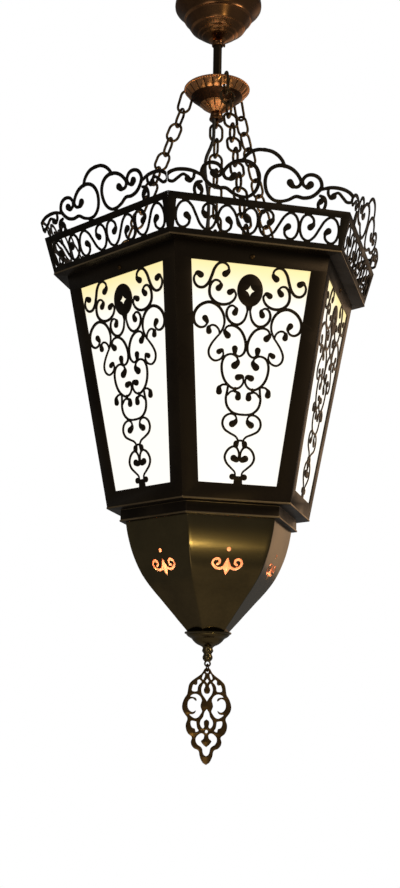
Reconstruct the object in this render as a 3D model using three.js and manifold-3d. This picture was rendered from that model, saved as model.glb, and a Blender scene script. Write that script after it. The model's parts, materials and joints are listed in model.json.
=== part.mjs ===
// Hexagonal pendant lantern: pierced sheet-metal sides over opal glass, a cresting of open
// scrolls, a six-sided bowl with a pierced drop below it, and three chains up to a fluted dish.
// Millimetres, +Z up. The origin is the middle of the ceiling plate's top face, so all heights
// are negative. A corner radius runs from the axis to a corner of the hexagon.
import * as THREE from "three";
import { mergeVertices } from "three/addons/utils/BufferGeometryUtils.js";
import Module from "manifold-3d";

const wasm = await Module();
wasm.setup();

const SIDES = 6;
const SIXTH = (2 * Math.PI) / SIDES;
const APOTHEM = Math.cos(Math.PI / SIDES); // distance to a side's middle for a corner radius of 1
const SEAT = 0.3; // gap kept between pieces that rest on or fit into each other

// Ceiling plate, hook and link
const plateRadius = 38;
const plateThickness = 3;
const plateScrewCircle = 26;
const plateScrewHole = 2.6;
const hookWire = 2.2;
const hookRadius = 7;
const hookFlangeRadius = 8;
const hookFlange = 2.5;
const linkLength = 24; // between the wire centres at the suspension link's two ends
const rodEyeRadius = 7;
const rodEyeTenon = 12; // how far its neck goes into the rod

// Canopy and down-rod
const canopyGap = 5; // ceiling to the canopy's rim, which lets the lantern swing
const canopyHeight = 70.2;
const canopyRadius = 62.5;
const canopyWall = 1.5;
const rodRadius = 6.2;
const rodBore = 4;
const rodTop = -56;
const slidingGap = 0.5; // between the rod and what slides on it
const collarRadius = 8.4;
const collarHeight = 6;
const grubScrewRadius = 1.6;
const grubScrewLength = 5;

// Fluted dish at the rod's foot
const dishRimDrop = 147.2; // ceiling to the dish's rim
const dishRadius = 46.6;
const dishDepth = 37.3;
const dishWall = 1.5;
const nutRadius = 10.5;
const nutHeight = 11;
const nutGrip = 5; // how far the rod enters the nut

// Chains
const chainWire = 2.1;
const linkHalfWidth = 9; // to the wire's centre
const dishLinkHalfLength = 17;
const dishLinkTilt = (15 * Math.PI) / 180;
const dishLinkRadius = 46.5; // where the first link's centre lies from the axis
const dishLinkBelowRim = 13.8;
const chainLinks = 12;
const centreLinks = 10;
const linkBite = 0.5; // how far neighbouring links of one chain press into each other
const eyeRadius = 5.5;
const eyeFoot = 4;
const eyeInset = 34; // from a spider arm's tip to its chain eye

// Gallery: six leaning pierced panels with open cresting
const hangingDrop = 400; // ceiling to the gallery's top edge
const galleryFootRadius = 225.1;
const galleryFlare = 14.9;
const galleryTopRadius = galleryFootRadius + galleryFlare;
const galleryHeight = 47.7;
const sheet = 1.5; // thickness of the pierced sheets
const friezeTopRail = 8.5;
const friezeWindow = 33;
const friezePitch = 27; // one volute's share of the window
const friezeVolutes = 8;
const friezeStroke = 3.3;
const crestHeight = 60.8; // to the middle of the tallest arch's strip
const crestStroke = 4.4;

// Soffit ring under the gallery
const soffitThickness = 2.4;
const soffitOverhang = 0.6;
const soffitWidth = 29.1; // from the gallery's foot to the shelf's inner edge, along a corner
const soffitInnerRadius = galleryFootRadius - soffitWidth;
const flangeDepth = 15;
const flangeWall = 1.8;

// Body: six leaning side panels with scrollwork in front of opal glass
const soffitLedge = 18.6; // from the gallery's foot in to the body's top, along a corner
const bodyTopRadius = galleryFootRadius - soffitLedge;
const bodyFootRadius = 142.4;
const bodyHeight = 313.8;
const windowTop = 21.5; // body's top edge to the window
const windowFootRail = 18.8;
const stileTop = 21.75; // from the side's edge to the window
const stileFoot = 21.42;
const glassThickness = 3;
const glassTop = 15.5; // body's top edge to the glass
const scrollStroke = 2.6;
const screwDrop = 11.5;
const screwHeadRadius = 3.4;
const screwHeadHeight = 1.8;
const screwShank = 1.6;
const screwReach = 3.4; // how far the shank goes through panel and flange

// Stepped collar and bowl under the body
const ledgeThickness = 2.4;
const collarWallRadius = 123.7;
const collarWallHeight = 13.6;
const collarLip = 1.2;
const collarBase = 2.2;
const collarInnerRadius = 112;
const bowlWall = 1.2;
const bowlTopRadius = 116.5;
const bowlFootRadius = 29;
const bowlDepth = 141;
const motifStroke = 2.6;

// Spider, lamp cluster and bulbs inside the body
const spiderThickness = 3;
const spiderArm = 14;
const spiderBearing = 14.26; // how far each arm lies on the soffit ring
const spiderHub = 34;
const stemRadius = 5;
const stemDrop = 84; // spider's top face to the lamp arms' underside
const lampBodyRadius = 16;
const lampArmDepth = 8;
const lampCircle = 60;
const holderRadius = 18;
const holderHeight = 42;
const holderBore = 13.6;
const holderBoreDepth = 25;
const bulbCapRadius = 13;
const bulbRadius = 30;
const bulbLength = 109;

// Flex from the dish's nut down to the spider
const flexRadius = 2.5;
const flexGap = 0.5; // kept between the flex and the chain's wire
const flexFoot = new THREE.Vector2(-24, 0);
const grommetRadius = 6.5;
const grommetHeight = 4;

// Finial and pierced drop
const finialRadius = 31.6;
const finialHeight = 38.5;
const finialEye = 3.6;
const finialEyeWire = 1.3;
const dropRingRadius = 4.6;
const dropRingWire = 1.1;
const dropSheet = 1.6;
const dropHole = 1.9;
const dropHeight = 125.7;
const dropHalfWidth = 34;
const dropNeck = 2.6; // from the drop's top to the top of its hole

// Widths and heights that follow from the sizes above
const spiderReach = soffitInnerRadius * APOTHEM + spiderBearing;
const chainSpread = spiderReach - eyeInset; // axis to the lower end of each chain
const windowHeight = bodyHeight - windowTop - windowFootRail;
const bodyTaper = (bodyTopRadius - bodyFootRadius) / bodyHeight;
const windowTopHalf = (bodyTopRadius - bodyTaper * windowTop) / 2 - stileTop;
const windowFootHalf = (bodyFootRadius + bodyTaper * windowFootRail) / 2 - stileFoot;
const zGallery = -hangingDrop;
const zSoffitTop = zGallery - galleryHeight - SEAT;
const zSoffitFoot = zSoffitTop - soffitThickness;
const zBodyTop = zSoffitFoot - SEAT;
const zBodyFoot = zBodyTop - bodyHeight;
const zLedge = zBodyFoot - SEAT;
const zLedgeFoot = zLedge - ledgeThickness;
const zCollarFoot = zLedgeFoot - collarWallHeight - collarBase;
const zBowlTop = zCollarFoot - SEAT;
const zBowlFoot = zBowlTop - bowlDepth;
const zFinial = zBowlFoot - SEAT;
const zRim = -dishRimDrop;
const zDishFoot = zRim - dishDepth;
const zNut = zDishFoot - SEAT;
const zNutFoot = zNut - nutHeight;
const zSpider = zSoffitTop + SEAT + spiderThickness;
const hangGap = 2 * chainWire + SEAT; // between wire centres where one ring hangs in another

const finish = (color, roughness, metalness) =>
  new THREE.MeshStandardMaterial({ color, roughness, metalness });
const bronze = finish(0x3a3023, 0.42, 0.9);
const darkBronze = finish(0x241d15, 0.5, 0.85);
const copper = finish(0xa8643c, 0.35, 0.95);
const brass = finish(0x6d5c38, 0.38, 0.9);
const steel = finish(0x8a8a88, 0.45, 0.9);
const opal = finish(0xfff4d8, 0.35, 0);
const rubber = finish(0x1a1612, 0.7, 0);
const porcelain = finish(0xe8e2d4, 0.4, 0);
const frostedGlass = finish(0xfff0c8, 0.25, 0);

const lantern = new THREE.Group();

/** Adds a named piece, turned about the lantern's axis if asked. */
function place(name, geometry, material, turn = 0) {
  const mesh = new THREE.Mesh(geometry, material);
  mesh.name = name;
  mesh.rotation.z = turn;
  lantern.add(mesh);
}

/** A closed copy of a geometry: shared corners merged, empty triangles dropped, faces outwards. */
function closed(geometry) {
  const bare = geometry.clone();
  bare.deleteAttribute("normal");
  bare.deleteAttribute("uv");
  const merged = mergeVertices(bare, 1e-4);
  const index = merged.index.array;
  const at = (i) => new THREE.Vector3().fromBufferAttribute(merged.attributes.position, i);
  const kept = [];
  let volume = 0;
  for (let i = 0; i < index.length; i += 3) {
    const [a, b, c] = [index[i], index[i + 1], index[i + 2]];
    if (a === b || b === c || c === a) continue;
    kept.push(a, b, c);
    volume += at(a).dot(at(b).cross(at(c)));
  }
  if (volume < 0) kept.reverse();
  merged.setIndex(kept);
  return merged;
}

/** A geometry as a solid for joining and cutting. */
function solid(geometry) {
  const body = closed(geometry);
  return new wasm.Manifold(
    new wasm.Mesh({
      numProp: 3,
      vertProperties: new Float32Array(body.attributes.position.array),
      triVerts: new Uint32Array(body.index.array),
    }),
  );
}

/** A joined or cut solid as a geometry again, without the seams inside its flat faces. */
function geometryOf(manifold) {
  const mesh = manifold.asOriginal().simplify().getMesh();
  const geometry = new THREE.BufferGeometry();
  geometry.setAttribute("position", new THREE.BufferAttribute(new Float32Array(mesh.vertProperties), 3));
  geometry.setIndex(new THREE.BufferAttribute(new Uint32Array(mesh.triVerts), 1));
  return geometry;
}

/** One geometry from several that overlap. */
function join(geometries) {
  return geometryOf(geometries.map(solid).reduce((whole, piece) => whole.add(piece)));
}

/** A geometry with others cut out of it. */
function cut(geometry, tools) {
  return geometryOf(tools.map(solid).reduce((whole, tool) => whole.subtract(tool), solid(geometry)));
}

/** A turned piece: radius and height pairs, revolved about Z. */
function turned(profile, segments) {
  const points = profile.map(([r, z]) => new THREE.Vector2(r, z));
  return closed(new THREE.LatheGeometry(points, segments).rotateX(Math.PI / 2));
}

/** A six-sided ring or shell: corner radius and height pairs, with a side facing -Y. */
function hexagonal(profile) {
  const points = profile.map(([r, z]) => new THREE.Vector2(r, z));
  return closed(new THREE.LatheGeometry(points, SIDES, SIXTH / 2).rotateX(Math.PI / 2));
}

/** A cylinder about Z from one height to another. */
function post(radius, low, high, segments = 12) {
  return turned([[0, low], [radius, low], [radius, high], [0, high]], segments);
}

/** A flat ring about Z with a square section. */
function washer(inner, outer, low, high, segments) {
  return turned([[inner, low], [outer, low], [outer, high], [inner, high], [inner, low]], segments);
}

/** An oval ring of round wire in the XY plane, long along Y. Half lengths go to wire centres. */
function wireRing(halfLength, halfWidth, wire, segments = 8, sides = 4) {
  const flank = Math.cos(Math.PI / segments);
  const radius = halfWidth / flank;
  const ring = new THREE.TorusGeometry(radius, wire, sides, segments);
  ring.rotateZ(Math.PI / segments);
  const stretch = halfLength - radius * (segments % 4 ? 1 : flank);
  const position = ring.attributes.position;
  for (let i = 0; i < position.count; i++) {
    position.setY(i, position.getY(i) + Math.sign(position.getY(i)) * stretch);
  }
  return closed(ring);
}

/** The same geometry set up in a frame given by its X and Y directions and its origin. */
function framed(geometry, xDirection, yDirection, origin) {
  const normal = new THREE.Vector3().crossVectors(xDirection, yDirection);
  const frame = new THREE.Matrix4().makeBasis(xDirection, yDirection, normal).setPosition(origin);
  return geometry.clone().applyMatrix4(frame);
}

const X = new THREE.Vector3(1, 0, 0);
const Y = new THREE.Vector3(0, 1, 0);
const Z = new THREE.Vector3(0, 0, 1);
const onAxis = (z) => new THREE.Vector3(0, 0, z);
const onFront = (r, z) => new THREE.Vector3(0, -r, z);

/** Outline of a strip of the given width along a line of points, mitred where it turns. */
function strip(points, width) {
  const line = points.map(([x, y]) => new THREE.Vector2(x, y));
  const left = [];
  const right = [];
  line.forEach((at, i) => {
    const before = line[Math.max(i - 1, 0)];
    const after = line[Math.min(i + 1, line.length - 1)];
    const arriving = new THREE.Vector2().subVectors(i ? at : after, before).normalize();
    const leaving = new THREE.Vector2().subVectors(after, i < line.length - 1 ? at : before).normalize();
    const along = new THREE.Vector2().addVectors(arriving, leaving).normalize();
    const reach = width / 2 / Math.max(along.dot(arriving), 0.5);
    left.push(new THREE.Vector2(at.x - along.y * reach, at.y + along.x * reach));
    right.unshift(new THREE.Vector2(at.x + along.y * reach, at.y - along.x * reach));
  });
  return new THREE.Shape([...left, ...right]);
}

/** A closed outline from a list of points. */
const outline = (points) => new THREE.Shape(points.map(([x, y]) => new THREE.Vector2(x, y)));

/** A regular outline around a point, with its own half width and half height. */
function oval(x, y, halfWidth, halfHeight, corners, start = 0) {
  const points = [];
  for (let i = 0; i < corners; i++) {
    const angle = start + (2 * Math.PI * i) / corners;
    points.push([x + halfWidth * Math.cos(angle), y + halfHeight * Math.sin(angle)]);
  }
  return outline(points);
}

/** Points drawn at one size, stretched across and down to another. */
const fitted = (points, across, down) => points.map(([x, y]) => [x * across, y * down]);

/** Mirrors a list of points in the vertical middle line. */
const mirrored = (points) => points.map(([x, y]) => [-x, y]);

/** Flat sheet of the given thickness: outlines joined into one piece, lying behind its face. */
function sheetOf(shapes, thickness) {
  const depth = { depth: thickness, bevelEnabled: false };
  return join(shapes.map((shape) => new THREE.ExtrudeGeometry(shape, depth).translate(0, 0, -thickness)));
}

/** A side's leaning plane: x across, y up the slope from the foot, z out of the face. */
function leaning(geometry, topRadius, footRadius, height, zFoot, inset = 0) {
  const run = (topRadius - footRadius) * APOTHEM;
  const up = new THREE.Vector3(0, -run, height).normalize();
  const out = new THREE.Vector3().crossVectors(X, up);
  const foot = onFront(footRadius * APOTHEM, zFoot).addScaledVector(out, -inset);
  return framed(geometry, X, up, foot);
}

/** Trims a side's piece to its own sixth of the lantern, so that the corners are mitred. */
function mitred(geometry) {
  const reach = 400;
  const tip = SEAT;
  const half = (reach - tip) * Math.tan(SIXTH / 2);
  const sector = outline([[0, -tip], [-half, -reach], [half, -reach]]);
  const depth = { depth: 2 * hangingDrop + reach, bevelEnabled: false };
  const wedge = new THREE.ExtrudeGeometry(sector, depth).translate(0, 0, -2 * hangingDrop - reach);
  return geometryOf(solid(geometry).intersect(solid(wedge)));
}

// Ceiling plate, with two screw holes, and the hook that carries everything
function ceilingPlate() {
  const plate = post(plateRadius, -plateThickness, 0, 24);
  const hole = post(plateScrewHole, -plateThickness - 1, 1, 16);
  const shifts = [-plateScrewCircle, plateScrewCircle];
  return cut(plate, shifts.map((x) => hole.clone().translate(x, 0, 0)));
}

const zHookFlange = -plateThickness - SEAT;
const zHookCentre = zHookFlange - hookFlange - hookRadius - hookWire + 1;
const zHookWire = zHookCentre - hookRadius;

function ceilingHook() {
  const flange = post(hookFlangeRadius, zHookFlange - hookFlange, zHookFlange, 10);
  const ring = wireRing(hookRadius, hookRadius, hookWire, 10, 6);
  return join([flange, framed(ring, X, Z, onAxis(zHookCentre))]);
}

const zLinkTop = zHookWire + 2 * hookWire + SEAT;
const zLinkFoot = zLinkTop - linkLength;

function suspensionLink() {
  const ring = wireRing(linkLength / 2, hookRadius, hookWire, 8, 6);
  return framed(ring, Y, Z, onAxis((zLinkTop + zLinkFoot) / 2));
}

const zRodEye = zLinkFoot + 2 * hookWire + SEAT - rodEyeRadius;

function rodEye() {
  const ring = wireRing(rodEyeRadius, rodEyeRadius, hookWire, 10, 6);
  const zRingFoot = zRodEye - rodEyeRadius;
  const neck = turned(
    [
      [0, zRingFoot],
      [rodRadius, zRingFoot],
      [rodRadius, rodTop + SEAT],
      [rodBore - SEAT, rodTop + SEAT],
      [rodBore - SEAT, rodTop - rodEyeTenon],
      [0, rodTop - rodEyeTenon],
    ],
    10,
  );
  return join([framed(ring, X, Z, onAxis(zRodEye)), neck]);
}

// Canopy: a spun shell in steps, open at the ceiling; radius and depth below its rim, drawn at
// this size
const canopyDrawn = { radius: 62.5, height: 70.2 };
const canopyLine = [
  [59.5, 0], [62.5, 14.5], [61.4, 18], [52.6, 28.4], [49, 34], [47.4, 35.4], [40.2, 47.2], [36.8, 50.6],
  [28.8, 57.2], [22.8, 61.4], [13, 67.6],
];

function canopy() {
  const wide = canopyRadius / canopyDrawn.radius;
  const tall = canopyHeight / canopyDrawn.height;
  const outer = fitted(canopyLine, wide, tall);
  outer.push([rodRadius + slidingGap, canopyHeight]);
  const inner = outer.map(([r, depth], i) =>
    i === outer.length - 1 ? [r, depth - canopyWall] : [r - canopyWall, Math.max(depth - canopyWall, 0)],
  );
  const profile = [...outer, ...inner.reverse(), outer[0]];
  return turned(profile.map(([r, depth]) => [r, -canopyGap - depth]), 16);
}

const zCollar = -canopyGap - canopyHeight - SEAT;

function canopyCollar() {
  const ring = washer(rodRadius + slidingGap, collarRadius, zCollar - collarHeight, zCollar, 12);
  const bore = post(grubScrewRadius + SEAT, 0, collarRadius + 2, 8).rotateY(Math.PI / 2);
  return cut(ring, [bore.translate(0, 0, zCollar - collarHeight / 2)]);
}

function canopyScrew() {
  const screw = post(grubScrewRadius, 0, grubScrewLength, 8).rotateY(Math.PI / 2);
  return screw.translate(rodRadius + SEAT, 0, zCollar - collarHeight / 2);
}

// Fluted dish: a spun shell with a rolled rim, open upwards; the rod passes through its foot
const dishLinkCentre = onFront(dishLinkRadius, zRim - dishLinkBelowRim);
const dishLinkUp = new THREE.Vector3(0, Math.sin(dishLinkTilt), Math.cos(dishLinkTilt));
const dishLinkOut = new THREE.Vector3(0, -Math.cos(dishLinkTilt), Math.sin(dishLinkTilt));

const dishDrawn = { radius: 46.6, depth: 37.3 }; // size that the two lines below are drawn at
const dishRimLine = [[45.2, 0], [46.6, 2]];
const dishWallLine = [[43.9, 4.8], [36, 13.8], [22.8, 25.8], [14.8, 32]];

function dish() {
  const wide = dishRadius / dishDrawn.radius;
  const tall = dishDepth / dishDrawn.depth;
  const dishRim = fitted(dishRimLine, wide, tall);
  const wall = fitted(dishWallLine, wide, tall);
  const foot = rodRadius + SEAT;
  const behind = wall.map(([r, depth]) => {
    const share = depth / dishDepth;
    return [r - dishWall * (1 - share), depth - dishWall * share];
  });
  const lip = [dishRim[0][0] - dishWall, dishWall / 2];
  const outer = [...dishRim, ...wall, [foot, dishDepth]];
  const inner = [[foot, dishDepth - dishWall], ...behind.reverse(), lip];
  const profile = [...outer, ...inner, outer[0]].map(([r, depth]) => [r, zRim - depth]);
  const hole = post(chainWire + 2 * SEAT, -linkHalfWidth, linkHalfWidth, 8);
  const tools = [];
  for (let k = 0; k < 3; k++) {
    const at = dishLinkCentre.clone().addScaledVector(dishLinkOut, -linkHalfWidth);
    tools.push(framed(hole, dishLinkOut, X, at).rotateZ(2 * k * SIXTH));
  }
  return cut(turned(profile, 16), tools);
}

const nutEyeCentre = zNutFoot - eyeRadius + 0.5;
const flexBeside = -chainWire - flexRadius - flexGap; // clear of links set either way round
const flexTop = new THREE.Vector3(flexBeside, flexBeside, zNutFoot - SEAT);

function dishNut() {
  const body = turned(
    [
      [0, zNutFoot],
      [nutRadius - 1, zNutFoot],
      [nutRadius, zNutFoot + 2],
      [nutRadius - 2, zNut],
      [rodRadius + SEAT, zNut],
      [rodRadius + SEAT, zNut - nutGrip],
      [0, zNut - nutGrip],
    ],
    14,
  );
  const eye = wireRing(eyeRadius, eyeRadius, chainWire);
  return join([body, framed(eye, Y, Z, onAxis(nutEyeCentre))]);
}

const zRodFoot = zNut - nutGrip + SEAT;
const rodTube = washer(rodBore, rodRadius, zRodFoot, rodTop, 12);

// Chains: oval links set at right angles to each other, pressed together into one run
function chainRun(start, finish, count, widthOfFirst) {
  const run = new THREE.Vector3().subVectors(finish, start);
  const pitchLoss = 2 * chainWire - linkBite;
  const length = (run.length() + 2 * hangGap + (count - 1) * pitchLoss) / count;
  const up = run.clone().normalize().negate();
  const across = new THREE.Vector3().crossVectors(widthOfFirst, up);
  const links = [];
  for (let i = 0; i < count; i++) {
    const link = wireRing(length / 2, linkHalfWidth, chainWire, 6);
    const middle = length / 2 - hangGap + i * (length - pitchLoss);
    const centre = start.clone().addScaledVector(up, -middle);
    links.push(framed(link, i % 2 ? across : widthOfFirst, up, centre));
  }
  return join(links);
}

const dishLink = framed(
  wireRing(dishLinkHalfLength, linkHalfWidth, chainWire),
  dishLinkOut,
  dishLinkUp,
  dishLinkCentre,
);
const zEyeSeat = zSpider + SEAT;
const zEyeCentre = zEyeSeat + eyeFoot + eyeRadius;
const chainTop = dishLinkCentre.clone().addScaledVector(dishLinkUp, -dishLinkHalfLength);
const chainFoot = onFront(chainSpread, zEyeCentre + eyeRadius);
const chain = chainRun(chainTop, chainFoot, chainLinks, X);
const centreChain = chainRun(
  onAxis(nutEyeCentre - eyeRadius),
  onAxis(zEyeCentre + eyeRadius),
  centreLinks,
  X,
);

function chainEye() {
  const foot = post(6, zEyeSeat, zEyeSeat + eyeFoot, 8);
  const shank = post(chainWire, zSpider - spiderThickness, zEyeSeat + 1, 8);
  const ring = wireRing(eyeRadius, eyeRadius, chainWire);
  return join([foot, shank, framed(ring, X, Z, onAxis(zEyeCentre))]).translate(0, -chainSpread, 0);
}

// Flex: loose beside the middle chain, from the nut to a grommet in the spider
const zGrommet = zSpider + SEAT + grommetHeight;
const flexRoute = [
  [flexTop.x, flexTop.y, flexTop.z],
  [flexTop.x, flexTop.y, -208],
  [flexTop.x, flexTop.y, -222],
  [-6.6, -5.8, -231],
  [-10.5, -5.8, -243],
  [-14.8, -5.4, -254],
  [-16.8, -5, -266],
  [-16.6, -5, -280],
  [-14, -5.6, -297],
  [-11.6, -5.8, -314],
  [-11, -5.8, -336],
  [-12.4, -5.6, -360],
  [-16.4, -5, -384],
  [-21.4, -2.4, -405],
  [flexFoot.x, flexFoot.y, -422],
  [flexFoot.x, flexFoot.y, zGrommet + SEAT],
].map((point) => new THREE.Vector3(...point));

function flex() {
  const section = oval(0, 0, flexRadius, flexRadius, 8);
  const extrudePath = new THREE.CatmullRomCurve3(flexRoute, false, "centripetal");
  return closed(new THREE.ExtrudeGeometry(section, { steps: 22, extrudePath }));
}

function grommet() {
  const low = zSpider - spiderThickness;
  const high = zSpider + SEAT;
  const profile = [
    [0, low],
    [grommetRadius - 2, low],
    [grommetRadius - 2, high],
    [grommetRadius, high],
    [grommetRadius - 1, zGrommet],
    [0, zGrommet],
  ];
  return turned(profile, 10).translate(flexFoot.x, flexFoot.y, 0);
}

// Spider: a three-armed bar that lies on the soffit ring and carries chains and lamps
function spider() {
  const low = zSpider - spiderThickness;
  const arm = new THREE.BoxGeometry(spiderArm, spiderReach - spiderHub / 2, spiderThickness);
  arm.translate(0, -(spiderReach + spiderHub / 2) / 2, zSpider - spiderThickness / 2);
  const eyeHole = post(chainWire + SEAT, low - 1, zSpider + 1, 8).translate(0, -chainSpread, 0);
  const flexHole = post(grommetRadius - 2 + SEAT, low - 1, zSpider + 1, 10);
  const bar = [post(spiderHub, low, zSpider, 18)];
  const holes = [post(stemRadius + SEAT, low - 1, zSpider + 1, 12)];
  holes.push(flexHole.translate(flexFoot.x, flexFoot.y, 0));
  for (let k = 0; k < 3; k++) {
    bar.push(arm.clone().rotateZ(2 * k * SIXTH));
    holes.push(eyeHole.clone().rotateZ(2 * k * SIXTH));
  }
  return cut(join(bar), holes);
}

// Lamp cluster: a hollow stem through the spider, a round body and three arms
const zLampArm = zSpider - stemDrop;
const zHolderTop = zLampArm - SEAT;

function lampCluster() {
  const stem = turned(
    [
      [0, zLampArm - 6],
      [lampBodyRadius * 0.56, zLampArm - 4],
      [lampBodyRadius, zLampArm],
      [lampBodyRadius, zLampArm + lampArmDepth],
      [stemRadius + 3, zLampArm + lampArmDepth + 6],
      [stemRadius, zLampArm + lampArmDepth + 8],
      [stemRadius, zEyeSeat],
      [2 * stemRadius, zEyeSeat],
      [2 * stemRadius, zEyeSeat + eyeFoot],
      [0, zEyeSeat + eyeFoot],
    ],
    10,
  );
  const eye = wireRing(eyeRadius, eyeRadius, chainWire);
  const parts = [stem, framed(eye, X, Z, onAxis(zEyeCentre))];
  for (let k = 0; k < 3; k++) {
    const arm = new THREE.BoxGeometry(lampArmDepth, lampCircle, lampArmDepth);
    arm.translate(0, -lampCircle / 2 - lampArmDepth / 2, zLampArm + lampArmDepth / 2);
    parts.push(arm.rotateZ((2 * k + 1) * SIXTH));
  }
  return join(parts);
}

const zBulbTop = zHolderTop - holderHeight + holderBoreDepth - SEAT;

function lampHolder() {
  const low = zHolderTop - holderHeight;
  const profile = [
    [0, zHolderTop],
    [holderRadius - 4, zHolderTop],
    [holderRadius, zHolderTop - 8],
    [holderRadius, low],
    [holderBore, low],
    [holderBore, low + holderBoreDepth],
    [0, low + holderBoreDepth],
  ];
  return turned(profile, 8).translate(0, -lampCircle, 0);
}

function bulb() {
  const profile = [
    [0, 0],
    [bulbCapRadius - 4, 0],
    [bulbCapRadius, 3],
    [bulbCapRadius, holderBoreDepth + 2],
    [bulbRadius * 0.72, (holderBoreDepth + bulbLength - bulbRadius) / 2],
    [bulbRadius, bulbLength - bulbRadius],
    [bulbRadius * 0.72, bulbLength - bulbRadius * 0.28],
    [0, bulbLength],
  ];
  const below = profile.map(([r, depth]) => [r, zBulbTop - depth]);
  return turned(below, 8).translate(0, -lampCircle, 0);
}

// Frieze: S-scrolls in the panel's window, right of the middle and below the window's top edge,
// drawn at this size
const voluteDrawn = { pitch: 27, window: 33 };
const volute = [[12.5, 15], [15, 5], [5, 1], [1.2, 16], [6, 32], [16, 29]];

function scrollPair() {
  const first = fitted(volute, friezePitch / voluteDrawn.pitch, friezeWindow / voluteDrawn.window);
  const turnedBack = first.map(([x, y]) => [2 * friezePitch - x, friezeWindow - y]).reverse();
  return [...first, ...turnedBack];
}

// Cresting: strips right of the middle, heights above the gallery's top edge, drawn at this size
const crestDrawn = { radius: 240, height: 60.8 };
const crestBigScroll = [[25, 0.5], [10, 6.5], [4.5, 24], [9, 39], [28, 45.5], [44, 39], [50, 28], [38, 24]];
const crestSmallScroll = [
  [25, 2.5], [46, 11], [58, 10], [72, 15.5], [78.5, 27], [68, 38.5], [51.5, 29], [62, 25],
];
const crestLeaf = [[77, 22], [91, 27], [112, 25.5], [124, 12]];
const crestLeafCurl = [[90, 26], [94, 17], [103, 20], [116, 10]];
const crestFoot = [[85, -2], [86, 11], [76, 17]];
const crestArch = [[28, 43], [20, 54.5], [8, 60.8]];

function galleryPanel() {
  const run = (galleryTopRadius - galleryFootRadius) * APOTHEM;
  const slant = Math.hypot(run, galleryHeight) / galleryHeight;
  const width = galleryTopRadius;
  const wide = galleryTopRadius / crestDrawn.radius;
  const tall = crestHeight / crestDrawn.height;
  const half = (friezePitch * friezeVolutes) / 2;
  const windowHigh = galleryHeight - friezeTopRail;
  const windowLow = windowHigh - friezeWindow;
  const rise = (points) => points.map(([x, y]) => [x * wide, (galleryHeight + y * tall) * slant]);
  const sink = (points) => points.map(([x, y]) => [x, (windowHigh - y) * slant]);
  const edge = galleryHeight * slant;
  const rails = outline([[-width, 0], [width, 0], [width, edge], [-width, edge]]);
  const window = [[-half, windowLow], [half, windowLow], [half, windowHigh], [-half, windowHigh]];
  rails.holes.push(outline(window.map(([x, y]) => [x, y * slant])));
  const shapes = [rails];
  for (let k = 0; k < friezeVolutes / 4; k++) {
    const pair = scrollPair().map(([x, y]) => [x + 2 * k * friezePitch, y]);
    for (const points of [pair, mirrored(pair)]) shapes.push(strip(sink(points), friezeStroke));
  }
  for (const points of [crestBigScroll, crestSmallScroll, crestLeaf, crestLeafCurl, crestFoot]) {
    for (const side of [points, mirrored(points)]) shapes.push(strip(rise(side), crestStroke));
  }
  shapes.push(strip(rise([...crestArch, ...mirrored(crestArch).reverse()]), crestStroke));
  const flat = sheetOf(shapes, sheet);
  return mitred(leaning(flat, galleryTopRadius, galleryFootRadius, galleryHeight, zSoffitTop + SEAT));
}

// Soffit ring: a flat shelf under the gallery with a leaning flange behind the side panels
function soffitRing() {
  const behind = bodyTopRadius - (sheet + SEAT) / APOTHEM - SEAT * bodyTaper;
  const flangeFoot = behind - flangeDepth * bodyTaper;
  const edge = galleryFootRadius + soffitOverhang;
  return hexagonal([
    [edge, zSoffitFoot],
    [edge, zSoffitTop],
    [soffitInnerRadius, zSoffitTop],
    [soffitInnerRadius, zSoffitFoot],
    [behind - flangeWall, zSoffitFoot],
    [flangeFoot - flangeWall, zSoffitFoot - flangeDepth],
    [flangeFoot, zSoffitFoot - flangeDepth],
    [behind, zSoffitFoot],
    [edge, zSoffitFoot],
  ]);
}

// Scrollwork of a side panel: points right of the middle and below the window's top edge, drawn
// for a window of this size
const scrollsDrawn = { topHalf: 79.3, footHalf: 51.7, height: 273.5 };
const topScroll = [[35, 13], [31, 2.5], [43, 0.5], [54, 27], [66, 34.5], [74.8, 25]];
const sideScroll = [[42, 31], [42, 24], [51.5, 25.5], [51, 44], [36, 52.5], [17, 37]];
const neckScroll = [[1.2, 50], [5, 69], [17, 76.2], [29, 65]];
const bigScroll = [
  [57, 77], [71.2, 76], [65, 56], [50, 50.2], [32, 63], [32, 80], [48, 106], [41, 122], [29.5, 117],
];
const heartScroll = [[27, 88], [28, 79], [14, 77.5], [1, 98], [8, 115]];
const innerScroll = [[14, 126], [10, 115], [27, 114.5], [31, 132], [20, 153], [5, 155], [1, 141]];
const pairScroll = [[11, 198], [9, 186.4], [24, 190], [23.5, 204], [5, 218], [5, 230]];
const footScroll = [[8, 240], [4, 228.5], [18, 231], [19, 243], [5, 260], [5, 278]];
const cupScroll = [[20, 151], [24, 168], [15, 184.5]];
const medallion = { y: 32, halfWidth: 17, halfHeight: 20.5, starWidth: 6.5, starHeight: 7.5 };

/** A point of the scrollwork, stretched with the window that it stands in. */
function inWindow([x, y]) {
  const share = y / scrollsDrawn.height;
  const drawnHalf = scrollsDrawn.topHalf + (scrollsDrawn.footHalf - scrollsDrawn.topHalf) * share;
  const half = windowTopHalf + (windowFootHalf - windowTopHalf) * share;
  return [(x * half) / drawnHalf, windowHeight * share];
}

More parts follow.
